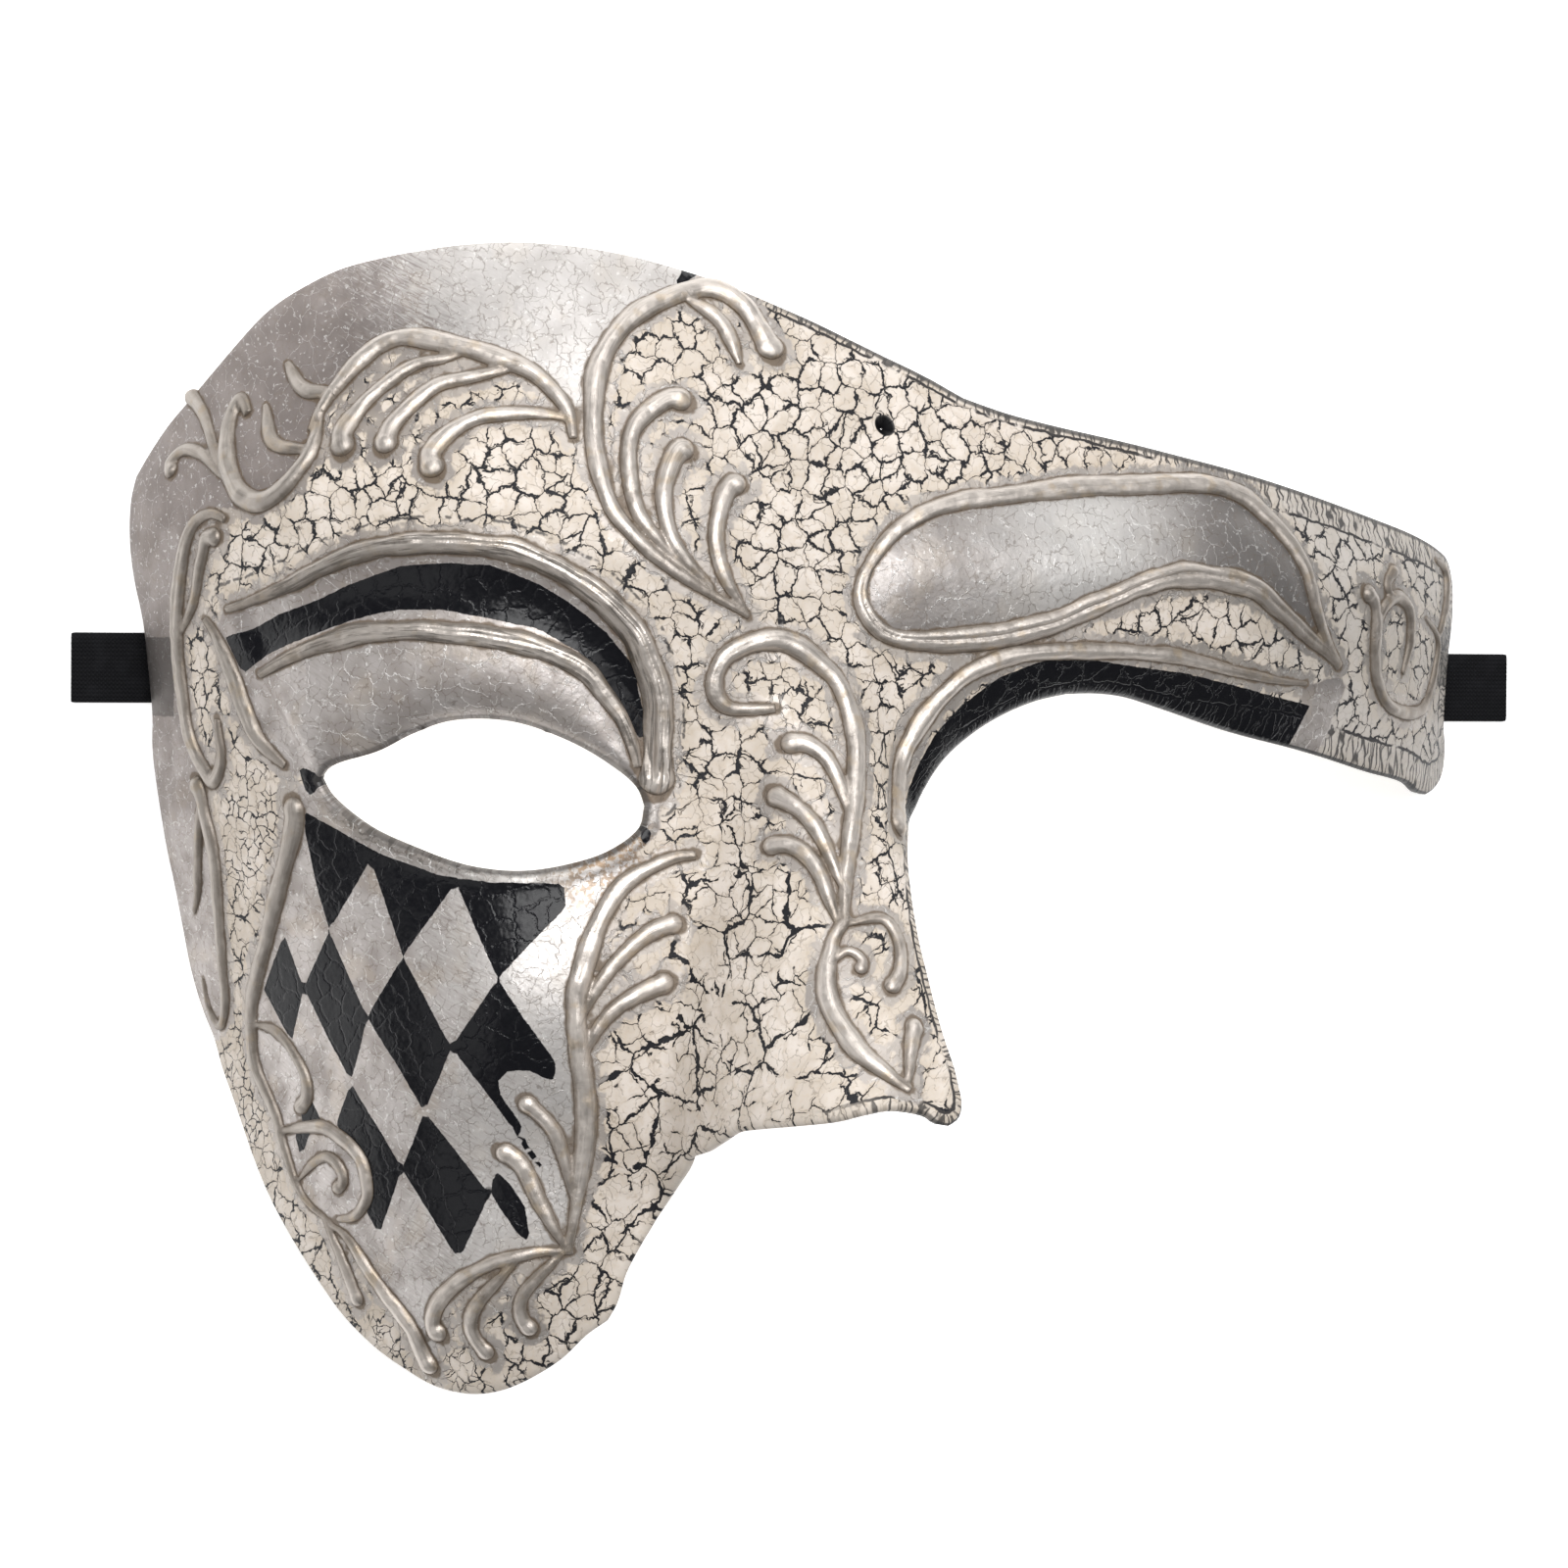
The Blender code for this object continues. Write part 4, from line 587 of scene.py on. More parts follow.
def make_moulding(name):
    """One raised moulding: its strokes swept over the finished skin and melted into one body."""
    points, faces, grooves = [], [], [g for g in GROOVES if g[0] == name]
    mine = [(n, bead) for n, bead in enumerate(BEADS) if SCROLLS[n][0] == name]
    for number, (n, bead) in enumerate(mine):
        x = PROFILE[None, :]
        lift = np.clip(1 - np.abs(x) ** 2.1, 0, 1) ** 0.72 * np.ones((bead["count"], 1))
        lift = lift * (1 + LEAN.get(name, 0.0) * x)
        for _, stroke, middle, depth, breadth, wander in grooves:
            if stroke == number:
                at = middle + wander * np.interp(bead["at"], np.arange(200), seeded(200, 9.0, 5 + middle))
                lift = lift - depth * np.exp(-((x - at[:, None]) / breadth) ** 2) * np.clip(lift, 0, 1)
        flat = bead["centre"][:, None] + bead["side"][:, None] * (bead["half"][:, None] * x)[..., None]
        place = place_of(flat.reshape(-1, 3))
        ground, normal = surface(place[:, 0], place[:, 1])
        ground = ground.reshape(flat.shape)
        normal = normal.reshape(flat.shape)
        top = ground + bead["up"][:, None] * (bead["rise"][:, None] * lift + 0.02)[..., None]
        low = ground[:, ::-1] - normal[:, ::-1] * 0.75
        rings = np.concatenate([top, low], 1)
        k = rings.shape[1]
        first = len(points)
        points += list(rings.reshape(-1, 3))
        for i in range(bead["count"] - 1):
            for j in range(k):
                a, b = first + i * k + j, first + i * k + (j + 1) % k
                faces.append((a, b, b + k, a + k))
        faces.append(tuple(first + j for j in reversed(range(k))))
        faces.append(tuple(len(points) - k + j for j in range(k)))
    piece = mesh_piece(name + "_silver", to_world(np.array(points)), faces)
    melt = piece.modifiers.new("melt", "REMESH")
    melt.mode, melt.voxel_size, melt.adaptivity = "VOXEL", 0.00023, 0.0
    even = piece.modifiers.new("even", "SMOOTH")
    even.factor, even.iterations = 0.5, 5
    bpy.context.view_layer.update()
    mesh = bpy.data.meshes.new_from_object(piece.evaluated_get(bpy.context.evaluated_depsgraph_get()))
    piece.modifiers.clear()
    old, piece.data = piece.data, mesh
    bpy.data.meshes.remove(old)
    mesh.name = piece.name
    # where each vertex lies: along its stroke, across it, and above the skin
    tree = kdtree.KDTree(sum(bead["count"] for _, bead in mine))
    rows = []
    for number, (n, bead) in enumerate(mine):
        for i in range(bead["count"]):
            tree.insert(Vector(bead["centre"][i]), len(rows))
            rows.append((n, i))
    tree.balance()
    co = np.zeros(len(mesh.vertices) * 3, np.float32)
    mesh.vertices.foreach_get("co", co)
    own = to_mask(co.reshape(-1, 3).astype(float))
    nearest = np.array([tree.find(Vector(p))[1] for p in own])
    which = np.array(rows)[nearest]
    centre = np.array([BEADS[n]["centre"][i] for n, i in rows])[nearest]
    side = np.array([BEADS[n]["side"][i] for n, i in rows])[nearest]
    up = np.array([BEADS[n]["up"][i] for n, i in rows])[nearest]
    run = np.array([BEADS[n]["at"][i] + 137.0 * n for n, i in rows])[nearest]
    half = np.array([BEADS[n]["half"][i] for n, i in rows])[nearest]
    across = ((own - centre) * side).sum(1)
    place = place_of(own)
    turn = np.radians(place[:, 0])
    radial = np.stack([np.sin(turn), 0 * turn, np.cos(turn)], -1)
    over = np.hypot(own[:, 0], own[:, 2] + AXIS_DEPTH) - radius(place[:, 0], place[:, 1])
    height = over * (radial * outward(place[:, 0], place[:, 1])).sum(1) - relief(place[:, 0], place[:, 1])
    store(mesh, "rise", height)
    store(mesh, "stroke", np.stack([run, across, across / half], -1))
    store(mesh, "mask_mm", own)
    # fingertip unevenness of laid paste
    lump = np.array([noise.noise(Vector(p * 0.55)) * 0.075 + noise.noise(Vector(p * 1.5)) * 0.022 for p in own])
    lump *= smooth(height, 0.0, 0.5)
    shown = own + up * lump[:, None]
    mesh.vertices.foreach_set("co", to_world(shown).astype(np.float32).ravel())
    mesh.update()
    mesh.shade_smooth()
    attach(piece, "root")
    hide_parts(name)
    return piece


# ---------------------------------------------------------------- the skin
def drawn_in(ring, amount):
    """A closed row of places moved in over the skin, away from the edge on its right-hand side."""
    p = skin(ring[:, 0], ring[:, 1])
    along = np.roll(p, -1, axis=0) - np.roll(p, 1, axis=0)
    along /= np.linalg.norm(along, axis=1, keepdims=True)
    inward = np.cross(outward(ring[:, 0], ring[:, 1]), along)
    flat = arc(ring)
    area = 0.5 * np.sum(flat[:, 0] * np.roll(flat[:, 1], -1) - np.roll(flat[:, 0], -1) * flat[:, 1])
    inward *= np.sign(area) * amount
    return place_of(p + inward)


def make_skin():
    rim, eye = loop(OUTLINE, 0.95), loop(EYE, 0.8)
    around = np.radians(np.arange(0, 360, 15))
    pin = np.stack([PIN_HOLE["angle"] + np.degrees(PIN_HOLE["radius"] / (AXIS_DEPTH - 5)) * np.cos(around),
                    PIN_HOLE["height"] + PIN_HOLE["radius"] * np.sin(around)], -1)
    rings = (rim, eye, pin)
    drawn = [drawn_in(rim, RIM_ROUND), drawn_in(eye, -RIM_ROUND), drawn_in(pin, -0.35)]
    field = []
    # Rows of points between the edges. Columns: from angle, to angle, step
    for start, stop, step in ((-82, -18, 0.72), (-17.8, 12, 0.42), (12.2, 70, 0.52)):
        for k, angle in enumerate(np.arange(start, stop, step)):
            field.append(np.stack([np.full(200, angle), -91 + (k % 2) * 0.46 + np.arange(200) * 0.92], -1))
    field = np.vstack(field)
    field = field[field[:, 1] < 88]
    flat = arc(field)
    keep = inside(flat, arc(drawn[0])) & ~inside(flat, arc(drawn[1])) & ~inside(flat, arc(drawn[2]))
    for ring, near in zip(drawn, (0.55, 0.5, 0.4)):
        keep &= line_distance(flat, arc(ring), True) > near
    field = field[keep]
    plane = np.vstack(drawn + [field])
    starts = np.cumsum([0] + [len(r) for r in rings])
    sides = [(int(s + i), int(s + (i + 1) % len(r))) for s, r in zip(starts, rings) for i in range(len(r))]
    verts, _, faces, *_ = delaunay_2d_cdt([Vector(p) for p in arc(plane)], sides, [], 0, 1e-6)
    if len(verts) != len(plane):
        raise ValueError("the skin's triangles don't use the given points")
    faces = np.array([tuple(f) for f in faces])
    middle = arc(plane)[faces].mean(1)
    faces = faces[inside(middle, arc(drawn[0])) & ~inside(middle, arc(drawn[1])) & ~inside(middle, arc(drawn[2]))]
    n = len(plane)
    outer, normal = surface(plane[:, 0], plane[:, 1])
    under = outer - WALL * normal
    points = [outer, under]
    all_faces = [tuple(f) for f in faces] + [tuple(n + i for i in reversed(f)) for f in faces]
    rows = 2 * n
    sources = [np.arange(n), np.arange(n)]
    for s, ring, taper in zip(starts, rings, (1.0, 1.0, 0.13)):    # the small hole narrows inward
        k = len(ring)
        edge, up = surface(ring[:, 0], ring[:, 1])
        upper, lower = rows, rows + k
        inward = edge - up * (WALL - 0.42)
        inward = inward.mean(0) + taper * (inward - inward.mean(0))
        under[s:s + k] = under[s:s + k].mean(0) + taper * (under[s:s + k] - under[s:s + k].mean(0))
        points += [edge - up * 0.42, inward]
        sources += [np.arange(s, s + k), np.arange(s, s + k)]
        rows += 2 * k
        for i in range(k):
            j = (i + 1) % k
            chain = (int(s), upper, lower, int(n + s))
            for top, bottom in zip(chain[:-1], chain[1:]):
                all_faces.append((top + j, top + i, bottom + i, bottom + j))
    points = np.vstack(points)
    sources = np.concatenate(sources)
    piece = mesh_piece("mask_skin", to_world(points), all_faces)
    work = bmesh.new()
    work.from_mesh(piece.data)
    bmesh.ops.recalc_face_normals(work, faces=work.faces)
    work.to_mesh(piece.data)
    work.free()
    piece.data.shade_smooth()
    mesh = piece.data
    # ---- what the materials read, for each vertex
    flat = arc(plane)
    table_a = np.arange(-84, 72, 1.0)
    table_h = np.arange(-92, 90, 3.0)
    grid = skin(*np.meshgrid(table_a, table_h))
    length = np.concatenate([np.zeros((len(table_h), 1)), np.cumsum(np.linalg.norm(np.diff(grid, axis=1), axis=2), axis=1)], 1)
    length -= length[:, [int(np.argmin(np.abs(table_a + 20)))]]
    fa = np.clip((plane[:, 0] + 84), 0, len(table_a) - 1.001)
    fh = np.clip((plane[:, 1] + 92) / 3.0, 0, len(table_h) - 1.001)
    ia, ih = fa.astype(int), fh.astype(int)
    ta, th = fa - ia, fh - ih
    arc_run = ((length[ih, ia] * (1 - ta) + length[ih, ia + 1] * ta) * (1 - th)
               + (length[ih + 1, ia] * (1 - ta) + length[ih + 1, ia + 1] * ta) * th)
    d_rim = line_distance(flat, arc(rim), True)
    # true distances and the run along the rim
    rim_p = skin(rim[:, 0], rim[:, 1])
    rim_run = np.r_[0, np.cumsum(np.linalg.norm(np.diff(rim_p, axis=0), axis=1))]
    true = skin(plane[:, 0], plane[:, 1])
    d_true, s_rim = np.full(n, 60.0), np.zeros(n)
    near = d_rim < 14
    for start in range(0, int(near.sum()), 4000):
        ids = np.nonzero(near)[0][start:start + 4000]
        d = np.linalg.norm(true[ids, None] - rim_p[None], axis=2)
        best = d.argmin(1)
        d_true[ids] = d.min(1)
        s_rim[ids] = rim_run[best]
    d_eye = line_distance(flat, arc(eye), True)
    d_rib = np.full(n, 30.0)
    for bead in BEADS:
        low, high = bead["centre"].min(0) - 8, bead["centre"].max(0) + 8
        ids = np.nonzero(((true > low) & (true < high)).all(1))[0]
        if len(ids):
            d = np.linalg.norm(true[ids, None] - bead["centre"][None], axis=2) - bead["half"][None]
            d_rib[ids] = np.minimum(d_rib[ids], d.min(1))
    black, silver, stain = (np.full(n, 40.0) for _ in range(3))
    for name, rows_ in REGIONS.items():
        s = signed(flat, arc(rows_))
        if name.endswith("black"):
            black = np.minimum(black, s)
        elif name.endswith("silver"):
            silver = np.minimum(silver, s)
        else:
            stain = np.minimum(stain, s)
    lip = line_distance(flat, LIP_EDGE)
    silver = np.minimum(silver, lip - 2.6)
    cell = np.full(n, CELL)
    for angle, height, reach, size in CELLS:
        w = np.exp(-(((flat - arc((angle, height))) ** 2).sum(1)) / reach ** 2)
        cell = cell + (size - cell) * w
    store(mesh, "skin_mm", np.stack([arc_run, plane[:, 1], d_true], -1)[sources])
    store(mesh, "rim_mm", np.stack([s_rim, d_true, d_eye], -1)[sources])
    store(mesh, "paint_mm", np.stack([black, silver, stain], -1)[sources])
    store(mesh, "rib_mm", d_rib[sources])
    store(mesh, "cell_mm", cell[sources])
    store(mesh, "side_mm", true[:, 0][sources])
    brow = np.where(signed(flat, GUTTER) > 0, line_distance(flat, BROW_LINE), 30.0)
    store(mesh, "brow_mm", brow[sources])
    edge = np.zeros(len(points))
    edge[2 * n:] = 1.0
    store(mesh, "edge", edge)
    hole, way = surface(np.array([PIN_HOLE["angle"]]), np.array([PIN_HOLE["height"]]))
    away = points - hole
    away = away - (away @ way[0])[:, None] * way
    store(mesh, "pin", np.clip((PIN_HOLE["radius"] + 0.22 - np.linalg.norm(away, axis=-1)) / 0.15, 0, 1))
    for made in (make_paint(), make_paper()):
        mesh.materials.append(made)
    material = np.zeros(len(mesh.polygons), np.int32)
    material[len(faces):2 * len(faces)] = 1
    mesh.polygons.foreach_set("material_index", material)
    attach(piece, "root")
    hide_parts("mask_shell")
    return piece


def make_strap(name, wall_angles, height, side, free):
    """Woven elastic: glued up the wall inside, out under the rim and flat along the floor, cut square."""
    depth = WALL + STRAP_CLEAR + STRAP_THICK / 2
    lie = STRAP_THICK / 2
    resting = lambda p: np.asarray(p) @ TURN.T - OFFSET
    end = resting(skin(wall_angles[-1] + side * 1.8, height))[0] + side * free
    runs = []
    for border in (-1, 1):
        level = height + border * STRAP_WIDTH / 2
        path = [resting(skin(a, level) - depth * outward(a, level)) for a in wall_angles]
        foot = path[-1]
        # Bend from the wall to the floor. Columns: out from the foot of the wall run, up from the floor
        for out, up in ((0.1, 3.1), (0.5, 1.6), (1.4, 0.85), (2.6, lie), (5.5, lie)):
            path.append(np.array((foot[0] + side * out, foot[1], up)))
        path.append(np.array(((foot[0] + side * 5.5 + end) / 2, foot[1], lie)))
        path.append(np.array((end, foot[1], lie)))
        path = np.array(path)
        step = np.r_[0, np.cumsum(np.linalg.norm(np.diff(path, axis=0), axis=1))]
        runs.append((path, step))
    count = int(runs[0][1][-1] / 0.5)
    lines = []
    for path, step in runs:
        at = np.linspace(0, step[-1], count)
        line = np.stack([np.interp(at, step, path[:, k]) for k in range(3)], -1)
        for _ in range(2):
            line[1:-1] = line[1:-1] * 0.5 + (line[:-2] + line[2:]) * 0.25
        line[:, 2] = np.where(at > step[-1] * 0.55, np.maximum(line[:, 2], lie), line[:, 2])
        lines.append(line)
    length = 0.5 * sum(step[-1] for _, step in runs)
    across = np.linspace(-1, 1, 79)
    cord_count = 17
    loops, weave = [], []
    tread = np.cos(across * np.pi * cord_count)
    for k in range(count):
        low, high = lines[0][k], lines[1][k]
        j, i = min(k + 1, count - 1), max(k - 1, 0)
        along = (lines[0][j] + lines[1][j]) - (lines[0][i] + lines[1][i])
        along /= np.linalg.norm(along)
        wide = (high - low) / np.linalg.norm(high - low)
        up = np.cross(along, wide)
        up /= np.linalg.norm(up)
        thick = STRAP_THICK / 2 * np.sqrt(np.clip(1 - np.abs(across) ** 14, 0, 1)) * (0.94 + 0.06 * tread)
        squeeze = 0.985 if k in (0, count - 1) else 1.0
        middle = low + (high - low) * (0.5 + 0.5 * across[:, None] * 0.995 * squeeze)
        top, bottom = middle + up * thick[:, None], (middle - up * thick[:, None])[::-1]
        loops.append(np.vstack([top, bottom[1:-1]]))
        at = length * k / (count - 1)
        row = [(at, a * STRAP_WIDTH / 2, 1.0) for a in across] + [(at, a * STRAP_WIDTH / 2, -1.0) for a in across[::-1][1:-1]]
        weave += row
    ring = len(loops[0])
    points, faces = np.vstack(loops), []
    for k in range(count - 1):
        for j in range(ring):
            a, b = k * ring + j, k * ring + (j + 1) % ring
            faces.append((a, b, b + ring, a + ring))
    for base in (0, (count - 1) * ring):
        for j in range(len(across) - 1):
            a, b = base + j, base + j + 1
            c, d = base + (ring - j) % ring, base + ring - j - 1
            if j == 0:
                faces.append((a, b, d))
            elif j == len(across) - 2:
                faces.append((a, b, c))
            else:
                faces.append((a, b, d, c))
    piece = mesh_piece(name + "_elastic", points * 0.001, faces)
    work = bmesh.new()
    work.from_mesh(piece.data)
    bmesh.ops.recalc_face_normals(work, faces=work.faces)
    work.to_mesh(piece.data)
    work.free()
    piece.data.shade_smooth()
    store(piece.data, "weave", np.array(weave))
    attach(piece, "root")
    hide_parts(name)
    return piece


# ---------------------------------------------------------------- materials
class Paint:
    """A procedural material, built with short calls. Sizes in it are millimetres."""

    def __init__(self, name):
        self.material = bpy.data.materials.new(name)
        self.material.use_nodes = True
        self.tree = self.material.node_tree
        self.shader = self.tree.nodes["Principled BSDF"]

    def node(self, kind, inputs=(), **settings):
        made = self.tree.nodes.new("ShaderNode" + kind)
        for key, value in settings.items():
            setattr(made, key, value)
        for key, value in dict(inputs).items():
            self.put(value, made.inputs[key])
        return made

    def put(self, value, socket):
        if isinstance(value, bpy.types.NodeSocket):
            self.tree.links.new(value, socket)
        elif isinstance(value, (tuple, list)) and len(value) == 3 and socket.type == "RGBA":
            socket.default_value = (*value, 1.0)
        else:
            socket.default_value = value

    def number(self, name):
        return self.node("Attribute", attribute_name=name).outputs["Fac"]

    def three(self, name):
        split = self.node("SeparateXYZ", {0: self.node("Attribute", attribute_name=name).outputs["Vector"]})
        return split.outputs

    def calc(self, kind, a, b=None, c=None, clamp=False):
        inputs = {0: a}
        if b is not None:
            inputs[1] = b
        if c is not None:
            inputs[2] = c
        return self.node("Math", inputs, operation=kind, use_clamp=clamp).outputs[0]

    def span(self, x, low, high, start=0.0, stop=1.0, kind="SMOOTHSTEP"):
        return self.node("MapRange", {"Value": x, "From Min": low, "From Max": high, "To Min": start, "To Max": stop},
                         interpolation_type=kind).outputs["Result"]

    def vector(self, x, y, z=0.0):
        return self.node("CombineXYZ", {0: x, 1: y, 2: z}).outputs[0]

    def move(self, a, b, kind="ADD"):
        return self.node("VectorMath", {0: a, 1: b}, operation=kind).outputs[0]

    def scale(self, a, size):
        return self.node("VectorMath", {0: a, "Scale": size}, operation="SCALE").outputs[0]

    def noise(self, place, size, detail=2.0, rough=0.5, bend=0.0, flat=True, colour=False):
        made = self.node("TexNoise", {"Vector": place, "Scale": 1.0 / size, "Detail": detail, "Roughness": rough, "Distortion": bend},
                         noise_dimensions="2D" if flat else "3D")
        return made.outputs["Color" if colour else "Fac"]

    def edge(self, place, size, spread=1.0):
        """Distance in millimetres to the nearest edge of random cells of that size."""
        cells = self.node("TexVoronoi", {"Vector": place, "Scale": 1.0 / size, "Randomness": spread},
                          voronoi_dimensions="2D", feature="DISTANCE_TO_EDGE").outputs["Distance"]
        return self.calc("MULTIPLY", cells, size)

    def mix(self, share, a, b, kind="MIX"):
        made = self.node("Mix", data_type="RGBA", blend_type=kind)
        self.put(share, made.inputs[0])
        for value, socket in ((a, made.inputs[6]), (b, made.inputs[7])):
            self.put(value, socket)
        return made.outputs[2]

    def both(self, a, b):
        return self.calc("MAXIMUM", a, b)

    def times(self, a, b):
        return self.calc("MULTIPLY", a, b)

    def rest_of(self, a):
        return self.calc("SUBTRACT", 1.0, a, clamp=True)

    def blend(self, share, a, b):
        return self.node("Mix", {0: share, 2: a, 3: b}, data_type="FLOAT").outputs[0]

    def bump(self, height, strength=1.0):
        """height in millimetres"""
        return self.node("Bump", {"Strength": strength, "Distance": 0.001, "Height": height}).outputs[0]


def make_paint():
    m = Paint("crackled_paint")
    u, v, _ = m.three("skin_mm")
    s_rim, d_rim, d_eye = m.three("rim_mm")
    d_black, d_silver, d_stain = m.three("paint_mm")
    d_rib, cell, edge = m.number("rib_mm"), m.number("cell_mm"), m.number("edge")
    d_brow, x_side = m.number("brow_mm"), m.number("side_mm")
    place = m.vector(u, v)
    # four cloudy fields, three independent numbers in each
    broad = m.noise(place, 3.4, 1.0, colour=True)
    fine = m.noise(place, 0.95, 2.0, 0.6, colour=True)
    large = m.noise(m.move(place, (9.0, 31.0, 0.0)), 8.0, 2.0, 0.6, colour=True)
    middle = m.noise(m.move(place, (57.0, 3.0, 0.0)), 2.4, 2.0, 0.6, colour=True)
    _, _, swelling = m.node("SeparateXYZ", {0: broad}).outputs
    dust, speck, grain = m.node("SeparateXYZ", {0: fine}).outputs
    cloud, patches, warm = m.node("SeparateXYZ", {0: large}).outputs
    wander, live_patch, dim = m.node("SeparateXYZ", {0: middle}).outputs
    uneven = m.calc("SUBTRACT", wander, 0.5)
    bent = m.move(m.move(place, m.scale(m.move(broad, (0.5, 0.5, 0.5), "SUBTRACT"), 2.2)),
                  m.scale(m.move(fine, (0.5, 0.5, 0.5), "SUBTRACT"), 0.95))
    # --- cracks of three sizes, each where the cells are that large; the next smaller size gives the spurs
    share_fine = m.rest_of(m.span(cell, 2.3, 2.9))
    share_large = m.span(cell, 3.9, 5.4)
    share_mid = m.times(m.rest_of(share_fine), m.rest_of(m.span(cell, 4.2, 5.8)))
    near_fine = m.edge(bent, 1.75)
    near_mid = m.edge(m.move(bent, (71.0, 17.0, 0.0)), 3.5)
    near_large = m.edge(m.move(m.move(bent, (1.0, 1.3, 1.0), "MULTIPLY"), (13.0, 41.0, 0.0)), 9.5)
    swell = m.span(swelling, 0.36, 0.60, 0.30, 1.0)

    def line(near, half):
        return m.times(m.rest_of(m.span(near, m.calc("SUBTRACT", half, 0.05), m.calc("ADD", half, 0.06))), m.span(half, 0.015, 0.06))

    def spurs(near, far, half, reach):
        taper = m.span(far, 0.0, reach, 1.0, 0.0, "LINEAR")
        return line(near, m.times(m.times(m.times(taper, m.span(live_patch, 0.43, 0.53)), half), 0.60))

    half_fine = m.times(m.times(swell, share_fine), 0.11)
    half_mid = m.times(m.times(swell, share_mid), 0.215)
    half_large = m.times(m.times(m.times(m.span(swelling, 0.34, 0.62, 0.40, 1.0), m.span(warm, 0.37, 0.45)), share_large), 0.40)
    half_thin = m.times(m.times(m.times(m.span(swelling, 0.36, 0.60, 0.5, 1.0), m.span(patches, 0.47, 0.53)), share_large), 0.13)
    field = m.both(line(near_fine, half_fine), m.both(line(near_mid, m.calc("MAXIMUM", half_mid, half_thin)), line(near_large, half_large)))
    field = m.both(field, m.both(spurs(near_fine, near_mid, half_mid, 1.15), spurs(near_mid, near_large, half_large, 2.4)))
    # --- along the cut edge: short cracks square to it, bounded by one long crack
    zone = m.span(x_side, 58.0, 88.0, 1.8, 5.0)
    from_zone = m.calc("SUBTRACT", d_rim, m.calc("ADD", zone, m.times(uneven, 0.9)))
    combed = m.span(x_side, -16.0, -5.0)
    inner = m.times(m.rest_of(m.span(from_zone, -0.2, 0.2)), combed)
    comb_bend = m.vector(m.calc("ADD", m.calc("DIVIDE", s_rim, 1.15), m.times(m.calc("SUBTRACT", dust, 0.5), 0.24)),
                         m.calc("DIVIDE", m.calc("ADD", d_rim, m.times(s_rim, 0.11)), 8.0))
    comb = m.rest_of(m.span(m.edge(comb_bend, 1.0), 0.05, 0.15))
    comb = m.times(comb, m.span(dim, 0.30, 0.42, 0.25, 1.0))
    line_at = m.calc("ABSOLUTE", from_zone)
    rim_line = m.times(m.rest_of(m.span(line_at, 0.17, 0.32)), m.times(m.span(cloud, 0.34, 0.44), combed))
    cracks = m.both(m.both(m.times(field, m.rest_of(inner)), m.times(m.times(comb, inner), 0.86)), m.times(rim_line, 0.95))
    # --- hairlines inside the cells
    hair = m.times(m.rest_of(m.span(near_fine, 0.035, 0.12)), m.span(wander, 0.40, 0.52))
    # --- cream coat
    cream = m.mix(m.span(cloud, 0.36, 0.66), (0.72, 0.652, 0.590), (0.61, 0.542, 0.472))
    cream = m.mix(m.times(m.span(speck, 0.50, 0.70), 0.35), cream, (0.60, 0.50, 0.39))
    soot = m.rest_of(m.span(m.calc("MINIMUM", near_mid, near_large), 0.0, 0.9))
    cream = m.mix(m.times(soot, 0.22), cream, (0.46, 0.37, 0.27))
    cream = m.mix(m.times(hair, 0.60), cream, (0.30, 0.25, 0.20))
    # painted shade: the cream darkened on the far tab, which faces away from the lamps
    cream = m.mix(m.times(m.span(x_side, 66.0, 92.0), 0.58), cream, (0.37, 0.355, 0.34))
    wash = m.rest_of(m.span(m.calc("ADD", d_rib, m.times(uneven, 3.4)), 0.6, 4.4))
    cream = m.mix(m.times(wash, 0.36), cream, (0.50, 0.42, 0.32))
    cream = m.mix(m.times(m.rest_of(m.span(d_rim, 0.3, 2.6)), 0.35), cream, (0.56, 0.50, 0.43))
    # --- silver: the painted fields and a brushed margin round every moulding
    silver_field = m.rest_of(m.span(m.calc("ADD", d_silver, m.times(uneven, 1.4)), -0.25, 0.25))
    margin = m.times(m.rest_of(m.span(m.calc("ADD", d_rib, m.times(uneven, 4.2)), 1.0, 1.75)), m.span(patches, 0.36, 0.62, 0.60, 0.84))
    silver = m.both(silver_field, margin)
    brushed = m.noise(m.vector(m.times(u, 0.5), m.times(m.calc("ADD", v, m.times(u, 0.55)), 3.2)), 1.4, 2.0, 0.65)
    metal = m.mix(m.span(patches, 0.36, 0.66), (0.53, 0.492, 0.475), (0.38, 0.343, 0.325))
    metal = m.mix(m.times(m.span(brushed, 0.42, 0.70), 0.38), metal, (0.38, 0.35, 0.31))
    metal = m.mix(m.times(m.span(warm, 0.54, 0.70), 0.26), metal, (0.52, 0.43, 0.33))
    emboss = m.times(m.rest_of(m.span(near_mid, 0.015, 0.075)), m.span(live_patch, 0.36, 0.46))
    # painted shade: the silver darkened at the near side, high on the near forehead, on the far side and at the left of
    # the far dome, where those faces turn from the lamps
    painted_shade_high_near = m.times(m.rest_of(m.span(m.calc("ADD", x_side, m.times(uneven, 22.0)), -66.0, -36.0)), m.span(v, 28.0, 44.0))
    painted_shade = m.both(m.times(m.rest_of(m.span(x_side, -86.0, -68.0)), 0.85), m.times(painted_shade_high_near, 0.90))
    painted_shade = m.both(painted_shade, m.times(m.times(m.span(x_side, 52.0, 76.0), m.span(v, 15.0, 22.0)), 0.86))
    painted_shade = m.both(painted_shade, m.times(m.times(m.rest_of(m.span(x_side, 12.0, 44.0)), m.span(x_side, 0.0, 9.0)), m.times(m.rest_of(m.span(v, 42.0, 50.0)), 0.45)))
    metal = m.mix(painted_shade, metal, m.mix(m.span(x_side, -40.0, 20.0), (0.190, 0.163, 0.152), (0.178, 0.168, 0.162)))
    lip = m.times(m.rest_of(m.span(m.calc("ADD", d_eye, uneven), 1.2, 3.0)), m.rest_of(m.span(v, -4.0, 2.0)))
